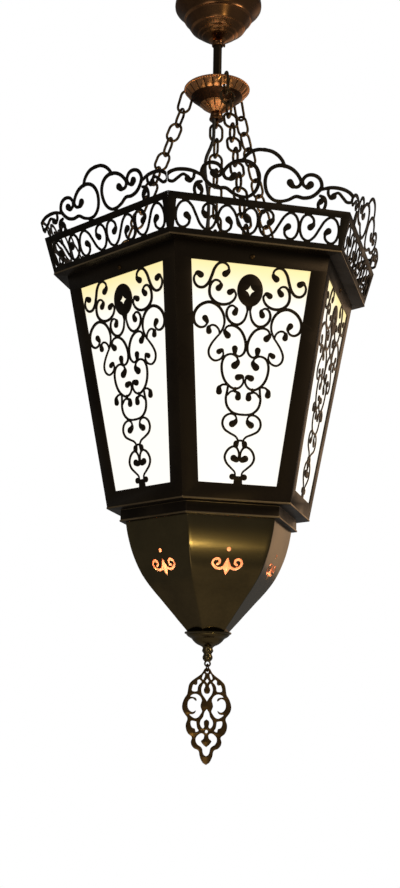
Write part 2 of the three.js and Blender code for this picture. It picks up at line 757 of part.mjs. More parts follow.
function sidePanel() {
  const run = (bodyTopRadius - bodyFootRadius) * APOTHEM;
  const slant = Math.hypot(run, bodyHeight) / bodyHeight;
  const high = bodyHeight - windowTop;
  const lower = (points) => points.map(([x, y]) => [x, (high - y) * slant]);
  const sink = (points) => lower(points.map(inWindow));
  const width = bodyTopRadius;
  const edge = bodyHeight * slant;
  const frame = outline([[-width, 0], [width, 0], [width, edge], [-width, edge]]);
  const window = lower([
    [-windowFootHalf, windowHeight],
    [windowFootHalf, windowHeight],
    [windowTopHalf, 0],
    [-windowTopHalf, 0],
  ]);
  frame.holes.push(outline(window));
  const { y, halfWidth, halfHeight, starWidth, starHeight } = medallion;
  const [[, middle]] = sink([[0, y]]);
  const wide = windowTopHalf / scrollsDrawn.topHalf;
  const tall = (slant * windowHeight) / scrollsDrawn.height;
  const disc = oval(0, middle, halfWidth * wide, halfHeight * tall, 10, Math.PI / 10);
  disc.holes.push(oval(0, middle, starWidth * wide, starHeight * tall, 4));
  const shapes = [frame, disc];
  const scrolls = [
    topScroll,
    sideScroll,
    neckScroll,
    bigScroll,
    heartScroll,
    innerScroll,
    pairScroll,
    footScroll,
  ];
  for (const points of scrolls) {
    for (const side of [points, mirrored(points)]) shapes.push(strip(sink(side), scrollStroke));
  }
  shapes.push(strip(sink([...cupScroll, ...mirrored(cupScroll).reverse()]), scrollStroke));
  const flat = sheetOf(shapes, sheet);
  const panel = mitred(leaning(flat, bodyTopRadius, bodyFootRadius, bodyHeight, zBodyFoot));
  return cut(panel, [panelScrewLine(post(screwShank + SEAT, -3 * screwReach, 3, 6))]);
}

/** Sets a piece that stands on Z square to the side panel's face, at the screw's place. */
function panelScrewLine(geometry) {
  const run = (bodyTopRadius - bodyFootRadius) * APOTHEM;
  const slant = Math.hypot(run, bodyHeight) / bodyHeight;
  const local = geometry.clone().translate(0, (bodyHeight - screwDrop) * slant, 0);
  return leaning(local, bodyTopRadius, bodyFootRadius, bodyHeight, zBodyFoot);
}

function panelScrew() {
  const head = [
    [0, -screwReach],
    [screwShank, -screwReach],
    [screwShank, SEAT],
    [screwHeadRadius, SEAT],
    [screwHeadRadius * 0.75, screwHeadHeight],
    [0, screwHeadHeight + 0.6],
  ];
  return panelScrewLine(turned(head, 6));
}

/** The soffit ring with a hole in its flange for each panel screw. */
function drilledSoffit() {
  const drill = panelScrewLine(post(screwShank + SEAT, -3 * screwReach, 3, 6));
  const holes = Array.from({ length: SIDES }, (_, k) => drill.clone().rotateZ(k * SIXTH));
  return cut(soffitRing(), holes);
}

function glassPane() {
  const run = (bodyTopRadius - bodyFootRadius) * APOTHEM;
  const slant = Math.hypot(run, bodyHeight) / bodyHeight;
  const high = (bodyHeight - glassTop) * slant;
  const width = bodyTopRadius;
  const pane = outline([[-width, 0.6], [width, 0.6], [width, high], [-width, high]]);
  const flat = sheetOf([pane], glassThickness);
  return mitred(leaning(flat, bodyTopRadius, bodyFootRadius, bodyHeight, zBodyFoot, sheet + SEAT));
}

// Stepped collar: a ledge that closes the body's foot, a short wall and a shelf for the bowl
function baseCollar() {
  const wall = collarWallRadius - flangeWall;
  const zShelf = zLedgeFoot - collarWallHeight;
  return hexagonal([
    [wall, zLedge],
    [bodyFootRadius + soffitOverhang, zLedge],
    [bodyFootRadius + soffitOverhang, zLedgeFoot],
    [collarWallRadius, zLedgeFoot],
    [collarWallRadius, zShelf],
    [collarWallRadius + collarLip, zShelf],
    [collarWallRadius + collarLip, zCollarFoot],
    [collarInnerRadius, zCollarFoot],
    [collarInnerRadius, zShelf],
    [wall, zShelf],
    [wall, zLedge],
  ]);
}

// Bowl: upright at first and then running in to the cap; corner radius and depth below its top,
// with its cut-outs, drawn at this size
const bowlLine = [
  [116.5, 0], [114, 15.5], [109, 35], [88.8, 75], [66.5, 100], [49.5, 118.5], [33.5, 136], [29, 141],
];
const bowlDrawn = { top: bowlLine[0][0], foot: bowlLine.at(-1)[0], depth: bowlLine.at(-1)[1] };
const motifDot = { depth: 40.5, radius: 2.6 };
const motifLozenge = [[0, 50], [4.6, 60], [0, 73], [-4.6, 60]];
const motifCurl = [[4.2, 66], [16, 65.5], [19.4, 56.5], [13, 51.5]];

function bowl() {
  const drop = ([r, depth]) => [r, zBowlTop - depth];
  const across = bowlTopRadius / bowlDrawn.top;
  const down = bowlDepth / bowlDrawn.depth;
  const onFace = (points) => fitted(points, across, down).map(drop);
  const spread = (bowlTopRadius - bowlFootRadius) / (bowlDrawn.top - bowlDrawn.foot);
  const fromFoot = ([r, depth]) => [bowlFootRadius + (r - bowlDrawn.foot) * spread, depth * down];
  const bowlProfile = bowlLine.map(fromFoot);
  const wall = bowlWall / APOTHEM;
  const inner = bowlProfile.map(([r, depth]) => [r - wall - depth * 0.006, depth]).reverse();
  const shell = hexagonal([...bowlProfile, ...inner, bowlProfile[0]].map(drop));
  const through = bowlTopRadius / 2;
  const reach = { depth: through, bevelEnabled: false };
  const shapes = [
    oval(0, zBowlTop - motifDot.depth * down, motifDot.radius, motifDot.radius, 4),
    outline(onFace(motifLozenge)),
    strip(onFace(motifCurl), motifStroke),
    strip(onFace(mirrored(motifCurl)), motifStroke),
  ];
  const tools = [];
  for (const shape of shapes) {
    const tool = framed(new THREE.ExtrudeGeometry(shape, reach), X, Z, onFront(bowlTopRadius, 0));
    tool.translate(0, through, 0);
    for (let k = 0; k < SIDES; k++) tools.push(tool.clone().rotateZ(k * SIXTH));
  }
  return cut(shell, tools);
}

// Finial: cap, cone and beaded stem turned in one, with an eye for the drop's ring; radius and
// depth of the line under the cap, drawn at this size
const finialLine = [
  [27.2, 5.4], [22.6, 8], [19.6, 11.2], [16, 14.6], [8.2, 18.8], [6.7, 21], [7.1, 25.4], [5.5, 28.4],
  [6.6, 32], [6.4, 35.5], [4.5, 38.5],
];
const finialDrawn = { radius: 31.6, height: finialLine.at(-1)[1] };
const zFinialFoot = zFinial - finialHeight;
const zFinialEye = zFinialFoot - finialEye + 0.6;

function finial() {
  const profile = [
    [0, 0],
    [finialRadius - 0.6, 0],
    [finialRadius, 1.6],
    [finialRadius - 1, 3.4],
    ...fitted(finialLine, finialRadius / finialDrawn.radius, finialHeight / finialDrawn.height),
    [0, finialHeight],
  ];
  const eye = wireRing(finialEye, finialEye, finialEyeWire, 8, 6);
  const body = turned(profile.map(([r, depth]) => [r, zFinial - depth]), 12);
  return join([body, framed(eye, X, Z, onAxis(zFinialEye))]);
}

const zRingTop = zFinialEye - finialEye + finialEyeWire + dropRingWire + SEAT;
const zRingCentre = zRingTop - dropRingRadius;
const zRingFoot = zRingCentre - dropRingRadius;
const dropWire = wireRing(dropRingRadius, dropRingRadius, dropRingWire, 8, 6);
const dropRing = framed(dropWire, Y, Z, onAxis(zRingCentre));

// Drop: half outline and holes of the pierced plate, right of the middle and below its top, drawn
// at this size
const dropDrawn = { halfWidth: 34, height: 125.7 };
const dropOutline = [
  [2.4, 0], [4.4, 3.5], [7, 8.5], [17, 15], [24, 22], [26.8, 29], [26.2, 36], [31.5, 42], [34, 51],
  [31.2, 60], [26.3, 67.5], [28.6, 76.5], [25.4, 85.5], [19.2, 91], [21, 97.5], [17.4, 105],
  [10.5, 108], [9.2, 113.5], [5.2, 121], [0, 125.7],
];
const dropHalfHoles = [
  [[14, 25], [20.5, 26], [21, 32], [13, 31]],
  [[11.5, 69.5], [20.5, 69], [20, 77], [12.5, 82]],
];
const dropMiddleHoles = [
  [[0, 46], [-8.4, 34], [-7, 25], [0, 29], [7, 25], [8.4, 34]],
  [[0, 55.5], [8.6, 69], [7, 79], [0, 75], [-7, 79], [-8.6, 69]],
  [
    [0, 94], [6, 87], [13.5, 90], [12.5, 98], [4.5, 104], [0, 113], [-4.5, 104], [-12.5, 98],
    [-13.5, 90], [-6, 87],
  ],
];
const dropEyes = { x: 16.4, depth: 51.5, halfWidth: 9.6, halfHeight: 14.5 };

function drop() {
  const zTop = zRingFoot + dropRingWire + SEAT + dropNeck;
  const wide = dropHalfWidth / dropDrawn.halfWidth;
  const tall = dropHeight / dropDrawn.height;
  const below = ([x, depth]) => [x * wide, zTop - depth * tall];
  const right = dropOutline.map(below);
  const left = mirrored(right.slice(0, -1)).reverse();
  const zHole = zRingFoot + dropRingWire + SEAT - dropHole;
  const holes = [oval(0, zHole, dropHole, dropHole, 8)];
  for (const hole of dropMiddleHoles) holes.push(outline(hole.map(below)));
  for (const hole of dropHalfHoles) {
    holes.push(outline(hole.map(below)), outline(mirrored(hole).map(below)));
  }
  for (const side of [-1, 1]) {
    const [x, y] = below([side * dropEyes.x, dropEyes.depth]);
    holes.push(oval(x, y, dropEyes.halfWidth * wide, dropEyes.halfHeight * tall, 8, 0.4));
  }
  const plate = sheetOf([outline([...right, ...left])], dropSheet);
  const tools = holes.map((shape) => sheetOf([shape], 3 * dropSheet).translate(0, 0, dropSheet));
  return framed(cut(plate, tools).translate(0, 0, dropSheet / 2), X, Z, new THREE.Vector3());
}

place("ceiling_plate", ceilingPlate(), steel);
place("ceiling_hook", ceilingHook(), steel);
place("suspension_link", suspensionLink(), steel);
place("rod_eye", rodEye(), steel);
place("down_rod", rodTube, bronze);
place("canopy", canopy(), bronze);
place("canopy_collar", canopyCollar(), bronze);
place("canopy_screw", canopyScrew(), brass);
place("dish", dish(), copper);
place("dish_nut", dishNut(), bronze);
place("middle_chain", centreChain, darkBronze);
place("flex", flex(), rubber);
place("flex_grommet", grommet(), rubber);
place("spider", spider(), bronze);
place("lamp_cluster", lampCluster(), brass);

const eyeBolt = chainEye();
const holder = lampHolder();
const lamp = bulb();
["front", "right", "left"].forEach((where, k) => {
  const turn = 2 * k * SIXTH;
  place(`dish_link_${where}`, dishLink, darkBronze, turn);
  place(`chain_${where}`, chain, darkBronze, turn);
  place(`chain_eye_${where}`, eyeBolt, darkBronze, turn);
  place(`lamp_holder_${k + 1}`, holder, porcelain, turn + SIXTH);
  place(`bulb_${k + 1}`, lamp, frostedGlass, turn + SIXTH);
});

const gallerySide = galleryPanel();
const bodySide = sidePanel();
const pane = glassPane();
const screw = panelScrew();
for (let k = 0; k < SIDES; k++) {
  place(`gallery_panel_${k + 1}`, gallerySide, darkBronze, k * SIXTH);
  place(`side_panel_${k + 1}`, bodySide, bronze, k * SIXTH);
  place(`glass_pane_${k + 1}`, pane, opal, k * SIXTH);
  place(`panel_screw_${k + 1}`, screw, brass, k * SIXTH);
}

place("soffit_ring", drilledSoffit(), bronze);
place("base_collar", baseCollar(), bronze);
place("bowl", bowl(), brass);
place("finial", finial(), brass);
place("drop_ring", dropRing, brass);
place("drop", drop(), darkBronze);

export default lantern;
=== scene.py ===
"""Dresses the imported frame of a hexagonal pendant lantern.

The CAD model gives every piece its place and its motion. This script replaces the faceted solids
with finely shaped ones in the same places: pierced bronze sheets with scrolls, oval chain links, a
fluted copper dish, lit opal glass, a brushed six-sided bowl and a pierced drop. Sizes are in
millimetres in the classes, apart from camera and studio, and become metres where a mesh is made. The
origin is the middle of the ceiling plate's top face and +Z is up, so heights are negative.
"""

from __future__ import annotations

import json
import logging
import math
from abc import ABC, abstractmethod
from dataclasses import dataclass, field, replace
from enum import Enum
from functools import cached_property
from typing import Callable, Iterable, Sequence

import bmesh
import bpy
import numpy as np
from mathutils import Matrix, Vector

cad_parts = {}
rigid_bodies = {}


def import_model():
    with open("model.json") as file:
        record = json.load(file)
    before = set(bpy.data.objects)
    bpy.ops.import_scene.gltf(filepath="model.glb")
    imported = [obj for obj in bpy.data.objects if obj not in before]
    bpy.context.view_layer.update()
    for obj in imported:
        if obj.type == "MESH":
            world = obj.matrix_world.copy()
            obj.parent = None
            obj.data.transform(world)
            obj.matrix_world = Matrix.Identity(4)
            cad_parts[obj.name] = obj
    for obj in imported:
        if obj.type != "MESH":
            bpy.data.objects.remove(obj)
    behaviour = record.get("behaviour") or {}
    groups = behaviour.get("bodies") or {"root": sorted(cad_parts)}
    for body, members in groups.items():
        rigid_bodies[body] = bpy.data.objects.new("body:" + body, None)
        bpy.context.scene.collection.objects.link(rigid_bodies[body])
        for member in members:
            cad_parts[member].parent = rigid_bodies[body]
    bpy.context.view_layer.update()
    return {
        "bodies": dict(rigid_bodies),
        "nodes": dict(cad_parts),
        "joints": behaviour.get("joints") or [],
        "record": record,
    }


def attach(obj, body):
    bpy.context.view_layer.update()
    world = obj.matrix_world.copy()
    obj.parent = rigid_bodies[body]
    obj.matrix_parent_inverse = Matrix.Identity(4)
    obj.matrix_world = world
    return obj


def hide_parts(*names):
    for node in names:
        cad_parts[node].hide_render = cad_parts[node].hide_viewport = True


LOG = logging.getLogger("lantern")

MM = 0.001
SIDES = 6
SIXTH = math.tau / SIDES
APOTHEM = math.cos(math.pi / SIDES)
MITRE = math.tan(math.pi / SIDES)
"""How far a mitred edge steps in for each millimetre of the sheet's depth."""
ROUND = 96
"""Points round a turned piece."""
CREASE = 32.0
"""Edges that bend by more degrees than this stay sharp, unless a piece says otherwise."""
FAR = 1e3
"""The distance that a point has where no shape reaches it."""
TINY = 1e-6
NEAR_ZERO = 1e-9

Point = tuple[float, float]
Spot = tuple[float, float, float]
Profile = Sequence[Point]
Lump = tuple[Sequence, Sequence]
Feed = bpy.types.NodeSocket | float | Sequence[float]

ACROSS = Vector((1, 0, 0))
AWAY = Vector((0, 1, 0))
UP = Vector((0, 0, 1))


class Where(Enum):
    """Which of the three chains a piece belongs to, with its turn about the axis."""

    FRONT = 0.0
    RIGHT = 2 * SIXTH
    LEFT = 4 * SIXTH

    @property
    def word(self) -> str:
        """The word that the frame's node names end with."""
        return self.name.lower()


def rotation(turn: float) -> Matrix:
    """A turn about the lantern's axis."""
    return Matrix.Rotation(turn, 4, "Z")


def blended(t: float, start: float, end: float, a: np.ndarray, b: np.ndarray) -> np.ndarray:
    """The point at t on the way from a, which is passed at start, to b, which is passed at end."""
    return (end - t) / (end - start) * a + (t - start) / (end - start) * b


def through(points: Profile, step: float = 1.2) -> np.ndarray:
    """Points along a smooth curve through the given ones.

    Args:
        points: The points that the curve passes, in order.
        step: The rough distance between the points returned.

    Returns:
        An array with a row for each point, evenly spread within each span.
    """
    known = np.array(points, float)
    first = 2 * known[0] - known[1]
    last = 2 * known[-1] - known[-2]
    line = np.vstack([first, known, last])
    found = [known[0]]
    for i in range(1, len(line) - 2):
        p = line[i - 1 : i + 3]
        t = [0.0]
        for a, b in zip(p[:-1], p[1:]):
            t.append(t[-1] + max(np.linalg.norm(b - a), TINY) ** 0.5)
        count = max(2, math.ceil(np.linalg.norm(p[2] - p[1]) / step))
        for at in np.linspace(t[1], t[2], count + 1)[1:]:
            a1, a2, a3 = (blended(at, t[k], t[k + 1], p[k], p[k + 1]) for k in range(3))
            b1, b2 = blended(at, t[0], t[2], a1, a2), blended(at, t[1], t[3], a2, a3)
            found.append(blended(at, t[1], t[2], b1, b2))
    return np.array(found)


def mirrored(points: Profile) -> list[Point]:
    """The points reflected in the upright middle line."""
    return [(-x, y) for x, y in points]


def upright(low_half: float, low: float, high_half: float, high: float) -> list[Point]:
    """Corners of a four-sided figure that is even about the middle line."""
    return [(-low_half, low), (low_half, low), (high_half, high), (-high_half, high)]


def from_line(gx: np.ndarray, gy: np.ndarray, a: Point, b: Point) -> tuple[np.ndarray, np.ndarray]:
    """Distance to the straight line from a to b.

    Args:
        gx: Array of x.
        gy: Array of y.
        a: Where the line starts.
        b: Where it ends.

    Returns:
        The distances, and where the nearest points lie on the line, from 0 at a to 1 at b.
    """
    dx, dy = b[0] - a[0], b[1] - a[1]
    t = np.clip(((gx - a[0]) * dx + (gy - a[1]) * dy) / (dx * dx + dy * dy + NEAR_ZERO), 0, 1)
    return np.hypot(gx - a[0] - t * dx, gy - a[1] - t * dy), t


@dataclass(frozen=True)
class Scroll:
    """One band of pierced work: fullest in its middle and often ending in a round bud.

    Args:
        points: What the band's middle line passes, in millimetres.
        width: The band's full width.
        buds: Radius of the bud at the first and at the last point, or 0 for none.
        tip: Width at the ends as a share of the full width.
    """

    points: tuple[Point, ...]
    width: float = 2.4
    buds: Point = (0.0, 0.0)
    tip: float = 0.75

    def reflected(self) -> Scroll:
        """The same band on the other side of the middle line."""
        return replace(self, points=tuple(mirrored(self.points)))

    def moved(self, across: float, up: float) -> Scroll:
        """The same band, shifted."""
        return replace(self, points=tuple((x + across, y + up) for x, y in self.points))

    def hung(self, top: float) -> Scroll:
        """The same band, with its second numbers taken as depths below a height."""
        return replace(self, points=tuple((x, top - y) for x, y in self.points))


class Stencil:
    """A flat sheet held as a field of distances: below zero is metal, above zero is open."""

    COMMA = 2.8
    """Length over which a band swells into its bud, as a multiple of the bud's radius."""
    ROOM = 4.5
    """How far round a band the field is worked out, beside the band's own width."""
    BUD_FILLET = 0.9

    def __init__(self, low: Point, high: Point, pitch: float) -> None:
        """Makes an empty field.

        Args:
            low: Lowest x and y that the field covers.
            high: Highest x and y.
            pitch: Distance between its points.
        """
        self.low = np.array(low, float)
        self.pitch = pitch
        columns = math.ceil((high[0] - low[0]) / pitch) + 1
        rows = math.ceil((high[1] - low[1]) / pitch) + 1
        self.x = low[0] + pitch * np.arange(columns)
        self.y = low[1] + pitch * np.arange(rows)
        self.field = np.full((rows, columns), FAR)

    def _window(self, low: np.ndarray, high: np.ndarray) -> tuple[slice, slice, np.ndarray, np.ndarray]:
        """The part of the field between two corners, with its coordinates."""
        c0, r0 = np.maximum(np.floor((low - self.low) / self.pitch).astype(int), 0)
        c1, r1 = np.ceil((high - self.low) / self.pitch).astype(int) + 1
        columns, rows = slice(c0, max(c1, c0)), slice(r0, max(r1, r0))
        gx, gy = np.meshgrid(self.x[columns], self.y[rows])
        return rows, columns, gx, gy

    @staticmethod
    def _blend(a: np.ndarray, b: np.ndarray, fillet: float) -> np.ndarray:
        """The lesser of two fields, with a fillet where they meet."""
        if fillet <= 0:
            return np.minimum(a, b)
        share = np.clip(0.5 + 0.5 * (b - a) / fillet, 0, 1)
        return b * (1 - share) + a * share - fillet * share * (1 - share)

    def add(self, low: np.ndarray, high: np.ndarray, shape: Callable, fillet: float = 0.0) -> None:
        """Adds metal.

        Args:
            low: Lowest corner of the shape's surroundings.
            high: Highest corner.
            shape: Gives the distance to the shape for arrays of x and y.
            fillet: Rounding where the shape meets what is there.
        """
        rows, columns, gx, gy = self._window(low, high)
        if gx.size:
            self.field[rows, columns] = self._blend(self.field[rows, columns], shape(gx, gy), fillet)

    def open(self, shape: Callable) -> None:
        """Cuts a shape out of the metal."""
        gx, gy = np.meshgrid(self.x, self.y)
        self.field = np.maximum(self.field, -shape(gx, gy))

    def keep(self, shape: Callable) -> None:
        """Keeps only the metal inside a shape."""
        gx, gy = np.meshgrid(self.x, self.y)
        self.field = np.maximum(self.field, shape(gx, gy))

    def band(self, scroll: Scroll, fillet: float = 0.7) -> None:
        """Adds a scroll: its band and its buds."""
        line = through(scroll.points)
        run = np.concatenate([[0], np.cumsum(np.linalg.norm(np.diff(line, axis=0), axis=1))])
        share = run / run[-1]
        swell = scroll.tip + (1 - scroll.tip) * np.sin(np.pi * share) ** 0.8
        half = swell * scroll.width / 2
        for radius, away in zip(scroll.buds, (run, run[-1] - run)):
            if radius > 0:
                comma = radius * np.cos(np.clip(away / (self.COMMA * radius), 0, 1) * np.pi / 2)
                half = np.maximum(half, comma)
        room = scroll.width + self.ROOM

        def distance(gx: np.ndarray, gy: np.ndarray) -> np.ndarray:
            """Distance to the tapering band."""
            best = np.full(gx.shape, FAR)
            for a, b, ha, hb in zip(line[:-1], line[1:], half[:-1], half[1:]):
                away, t = from_line(gx, gy, a, b)
                best = np.minimum(best, away - ha - t * (hb - ha))
            return best

        self.add(line.min(0) - room, line.max(0) + room, distance, fillet)
        for radius, centre in zip(scroll.buds, (scroll.points[0], scroll.points[-1])):
            if radius > 0:
                self.disc(centre, radius, radius, self.BUD_FILLET)

    def pair(self, scroll: Scroll, fillet: float = 0.7) -> None:
        """Adds a scroll and its reflection."""
        self.band(scroll, fillet)
        self.band(scroll.reflected(), fillet)

    def disc(self, centre: Point, half_width: float, half_height: float, fillet: float = 0.0) -> None:
        """Adds an oval disc."""
        middle = np.array(centre, float)
        reach = np.array([half_width, half_height]) + 2
        self.add(middle - reach, middle + reach, oval(centre, half_width, half_height), fillet)

    def outlines(self, slack: float = 0.03) -> list[np.ndarray]:
        """The closed lines between metal and opening, with needless points left out."""
        field = np.pad(self.field, 1, constant_values=1.0)
        field = np.where(np.abs(field) < 1e-4, 1e-4, field)
        inside = field < 0
        mixed = inside[:-1, :-1].astype(int) + inside[1:, :-1] + inside[:-1, 1:] + inside[1:, 1:]
        following: dict[tuple, tuple] = {}
        places: dict[tuple, np.ndarray] = {}

        def crossing(r0: int, c0: int, r1: int, c1: int) -> tuple:
            """The key of the point where the line crosses an edge of the grid."""
            key = (min(r0, r1), min(c0, c1), int(r0 != r1))
            if key not in places:
                a, b = field[r0, c0], field[r1, c1]
                t = a / (a - b)
                spot = np.array([c0 + t * (c1 - c0) - 1, r0 + t * (r1 - r0) - 1])
                places[key] = self.low + spot * self.pitch
            return key

        for r, c in zip(*np.nonzero((mixed > 0) & (mixed < 4))):
            corners = [(r, c), (r, c + 1), (r + 1, c + 1), (r + 1, c)]
            states = [inside[k] for k in corners]
            leaving, arriving = [], []
            for k in range(4):
                if states[k] != states[(k + 1) % 4]:
                    key = crossing(*corners[k], *corners[(k + 1) % 4])
                    (leaving if states[k] else arriving).append((k, key))
            for k, key in leaving:
                partner = min(arriving, key=lambda item: (k - item[0]) % 4)
                following[key] = partner[1]
        loops = []
        while following:
            start, at = following.popitem()
            loop = [places[start]]
            while at != start and at in following:
                loop.append(places[at])
                at = following.pop(at)
            if len(loop) > 8:
                loops.append(thinned(np.array(loop), slack))
        return [loop for loop in loops if len(loop) > 4]


def thinned(loop: np.ndarray, slack: float) -> np.ndarray:
    """A closed line without the points that lie within slack of the line between their neighbours."""
    far = int(np.argmax(np.linalg.norm(loop - loop[0], axis=1)))
    kept = {0, far}
    spans = [(0, far), (far, len(loop))]
    closed = np.vstack([loop, loop[:1]])
    while spans:
        a, b = spans.pop()
        if b - a < 2:
            continue
        chord = closed[b] - closed[a]
        length = np.hypot(*chord)
        rest = closed[a + 1 : b] - closed[a]
        if length < NEAR_ZERO:
            away = np.hypot(rest[:, 0], rest[:, 1])
        else:
            away = np.abs(rest[:, 0] * chord[1] - rest[:, 1] * chord[0]) / length
        worst = int(np.argmax(away))
        if away[worst] > slack or b - a > 60:
            middle = a + 1 + worst if away[worst] > slack else (a + b) // 2
            kept.add(middle)
            spans += [(a, middle), (middle, b)]
    return loop[sorted(k for k in kept if k < len(loop))]


def oval(centre: Point, half_width: float, half_height: float) -> Callable:
    """The distance to an oval, near enough close to its edge."""

    def distance(gx: np.ndarray, gy: np.ndarray) -> np.ndarray:
        """Distance for arrays of x and y."""
        nx, ny = (gx - centre[0]) / half_width, (gy - centre[1]) / half_height
        size = np.hypot(nx, ny) + NEAR_ZERO
        slope = np.hypot(nx / half_width, ny / half_height) / size + NEAR_ZERO
        return (size - 1) / slope

    return distance


def star(centre: Point, half_width: float, half_height: float, waist: float = 0.62) -> Callable:
    """The distance to a four-pointed star with hollow sides."""

    def distance(gx: np.ndarray, gy: np.ndarray) -> np.ndarray:
        """Distance for arrays of x and y."""
        nx, ny = np.abs(gx - centre[0]) / half_width, np.abs(gy - centre[1]) / half_height
        return ((nx**waist + ny**waist) ** (1 / waist) - 1) * min(half_width, half_height) * 0.5

    return distance


def polygon(points: Profile) -> Callable:
    """The distance to a closed outline, below zero inside it."""
    corners = np.array(points, float)

    def distance(gx: np.ndarray, gy: np.ndarray) -> np.ndarray:
        """Distance for arrays of x and y."""
        best = np.full(gx.shape, FAR)
        inside = np.zeros(gx.shape, bool)
        for a, b in zip(corners, np.roll(corners, -1, axis=0)):
            best = np.minimum(best, from_line(gx, gy, a, b)[0])
            dx, dy = b - a
            between = (a[1] > gy) != (b[1] > gy)
            across = a[0] + (gy - a[1]) * dx / (dy if abs(dy) > NEAR_ZERO else NEAR_ZERO)
            inside ^= between & (gx < across)
        return np.where(inside, -best, best)

    return distance


class Maker:
    """Turns lists of points into shown objects, in metres and in the frame's own place."""

    STRAIGHT = math.radians(172)
    """A corner that is nearly this straight isn't rounded."""

    @staticmethod
    def linked(name: str, data: bpy.types.ID) -> bpy.types.Object:
        """A new object in the scene."""
        made = bpy.data.objects.new(name, data)
        bpy.context.scene.collection.objects.link(made)
        return made

    @staticmethod
    def piece(name: str, vertices: Sequence, faces: Sequence, crease: float = CREASE) -> bpy.types.Object:
        """Makes an object from millimetre points.

        Args:
            name: The piece's name.
            vertices: Points in millimetres.
            faces: Lists of point numbers.
            crease: Edges that bend by more than this many degrees stay sharp.

        Returns:
            The new object, linked into the scene.
        """
        mesh = bpy.data.meshes.new(name)
        points = np.array(vertices, float) * MM
        mesh.from_pydata(points.tolist(), [], [list(map(int, f)) for f in faces])
        return Maker.finished(name, mesh, crease)

    @staticmethod
    def finished(name: str, mesh: bpy.types.Mesh, crease: float = CREASE) -> bpy.types.Object:
        """An object from a mesh, with merged points, outward faces and smooth shading."""
        body = bmesh.new()
        body.from_mesh(mesh)
        bmesh.ops.remove_doubles(body, verts=body.verts, dist=2e-6)
        bmesh.ops.dissolve_degenerate(body, dist=1e-6, edges=body.edges)
        bmesh.ops.recalc_face_normals(body, faces=body.faces)
        body.to_mesh(mesh)
        body.free()
        mesh.name = name
        mesh.shade_smooth()
        mesh.set_sharp_from_angle(angle=math.radians(crease))
        return Maker.linked(name, mesh)

    @staticmethod
    def shaped(obj: bpy.types.Object) -> bpy.types.Mesh:
        """A copy of an object's mesh with its modifiers applied."""
        bpy.context.view_layer.update()
        ready = obj.evaluated_get(bpy.context.evaluated_depsgraph_get())
        return bpy.data.meshes.new_from_object(ready)

    @staticmethod
    def cut(piece: bpy.types.Object, cutter: bpy.types.Object) -> bpy.types.Mesh:
        """The mesh of a piece with a cutter taken out of it. Both objects are used up."""
        cutting = piece.modifiers.new("cut", "BOOLEAN")
        cutting.object = cutter
        cutting.solver = "EXACT"
        mesh = Maker.shaped(piece)
        bpy.data.objects.remove(cutter)
        bpy.data.objects.remove(piece)
        return mesh

    @staticmethod
    def turned(name: str, profile: Profile, crease: float = CREASE) -> bpy.types.Object:
        """A piece revolved about the lantern's axis from a closed profile of radius and height."""
        return Maker.piece(name, *Maker.revolution(profile, ROUND), crease)

    @staticmethod
    def looped(count: int) -> list[tuple[int, int]]:
        """The numbers below count in pairs of neighbours, and the last with the first."""
        return [(i, (i + 1) % count) for i in range(count)]

    @staticmethod
    def quads(pairs: Iterable[tuple[int, int]], around: int) -> list[list[int]]:
        """Faces between pairs of rings of points, where each ring has the same number of points."""
        faces = []
        for i, j in pairs:
            for k, n in Maker.looped(around):
                faces.append([i * around + k, i * around + n, j * around + n, j * around + k])
        return faces

    @staticmethod
    def revolution(profile: Profile, segments: int) -> tuple[list, list]:
        """Points and faces of a closed profile of radius and height, revolved about Z."""
        angles = [math.tau * k / segments for k in range(segments)]
        vertices = [(r * math.cos(a), r * math.sin(a), z) for r, z in profile for a in angles]
        pairs = [(i, j) for i, j in Maker.looped(len(profile)) if max(profile[i][0], profile[j][0]) >= TINY]
        return vertices, Maker.quads(pairs, segments)

    @staticmethod
    def softened(profile: Profile, radius: float, steps: int = 3) -> list[Point]:
        """The profile with an arc of the given radius at each corner, smaller where it is short."""
        line = [np.array(p, float) for p in profile]
        found: list[Point] = []
        for i, at in enumerate(line):
            before, after = line[i - 1] - at, line[(i + 1) % len(line)] - at
            a, b = np.linalg.norm(before), np.linalg.norm(after)
            corner = min(a, b, at[0]) >= TINY
            turn = math.acos(float(np.clip(before @ after / a / b, -1, 1))) if corner else math.pi
            if turn > Maker.STRAIGHT:
                found.append(tuple(at))
                continue
            reach = min(radius / math.tan(turn / 2), 0.4 * a, 0.4 * b)
            start, end = at + before / a * reach, at + after / b * reach
            for k in range(steps + 1):
                t = k / steps
                spot = (1 - t) ** 2 * start + 2 * t * (1 - t) * at + t * t * end
                found.append(tuple(spot))
        return found

    @staticmethod
    def wire(path: np.ndarray, radius: float, sides: int = 12, closed: bool = True) -> tuple[list, list]:
        """Points and faces of round wire along a path.

        Args:
            path: The wire's middle line, one row for each point.
            radius: The wire's radius.
            sides: Points around its section.
            closed: True where the wire meets itself.

        Returns:
            Vertices and faces.
        """
        count = len(path)
        vertices: list = []
        normal = None
        for i, at in enumerate(path):
            ahead = path[(i + 1) % count] if closed or i < count - 1 else at
            behind = path[i - 1] if closed or i > 0 else at
            along = (ahead - behind) / np.linalg.norm(ahead - behind)
            if normal is None:
                guess = np.array([0, 0, 1.0]) if abs(along[2]) < 0.9 else np.array([1.0, 0, 0])
                normal = guess - along * (guess @ along)
            normal = normal - along * (normal @ along)
            normal /= np.linalg.norm(normal)
            other = np.cross(along, normal)
            for k in range(sides):
                a = math.tau * k / sides
                vertices.append(at + radius * (math.cos(a) * normal + math.sin(a) * other))
        pairs = Maker.looped(count)
        if closed:
            return vertices, Maker.quads(pairs, sides)
        faces = Maker.quads(pairs[:-1], sides)
        faces.append(list(range(sides)))
        faces.append([(count - 1) * sides + k for k in range(sides)])
        return vertices, faces

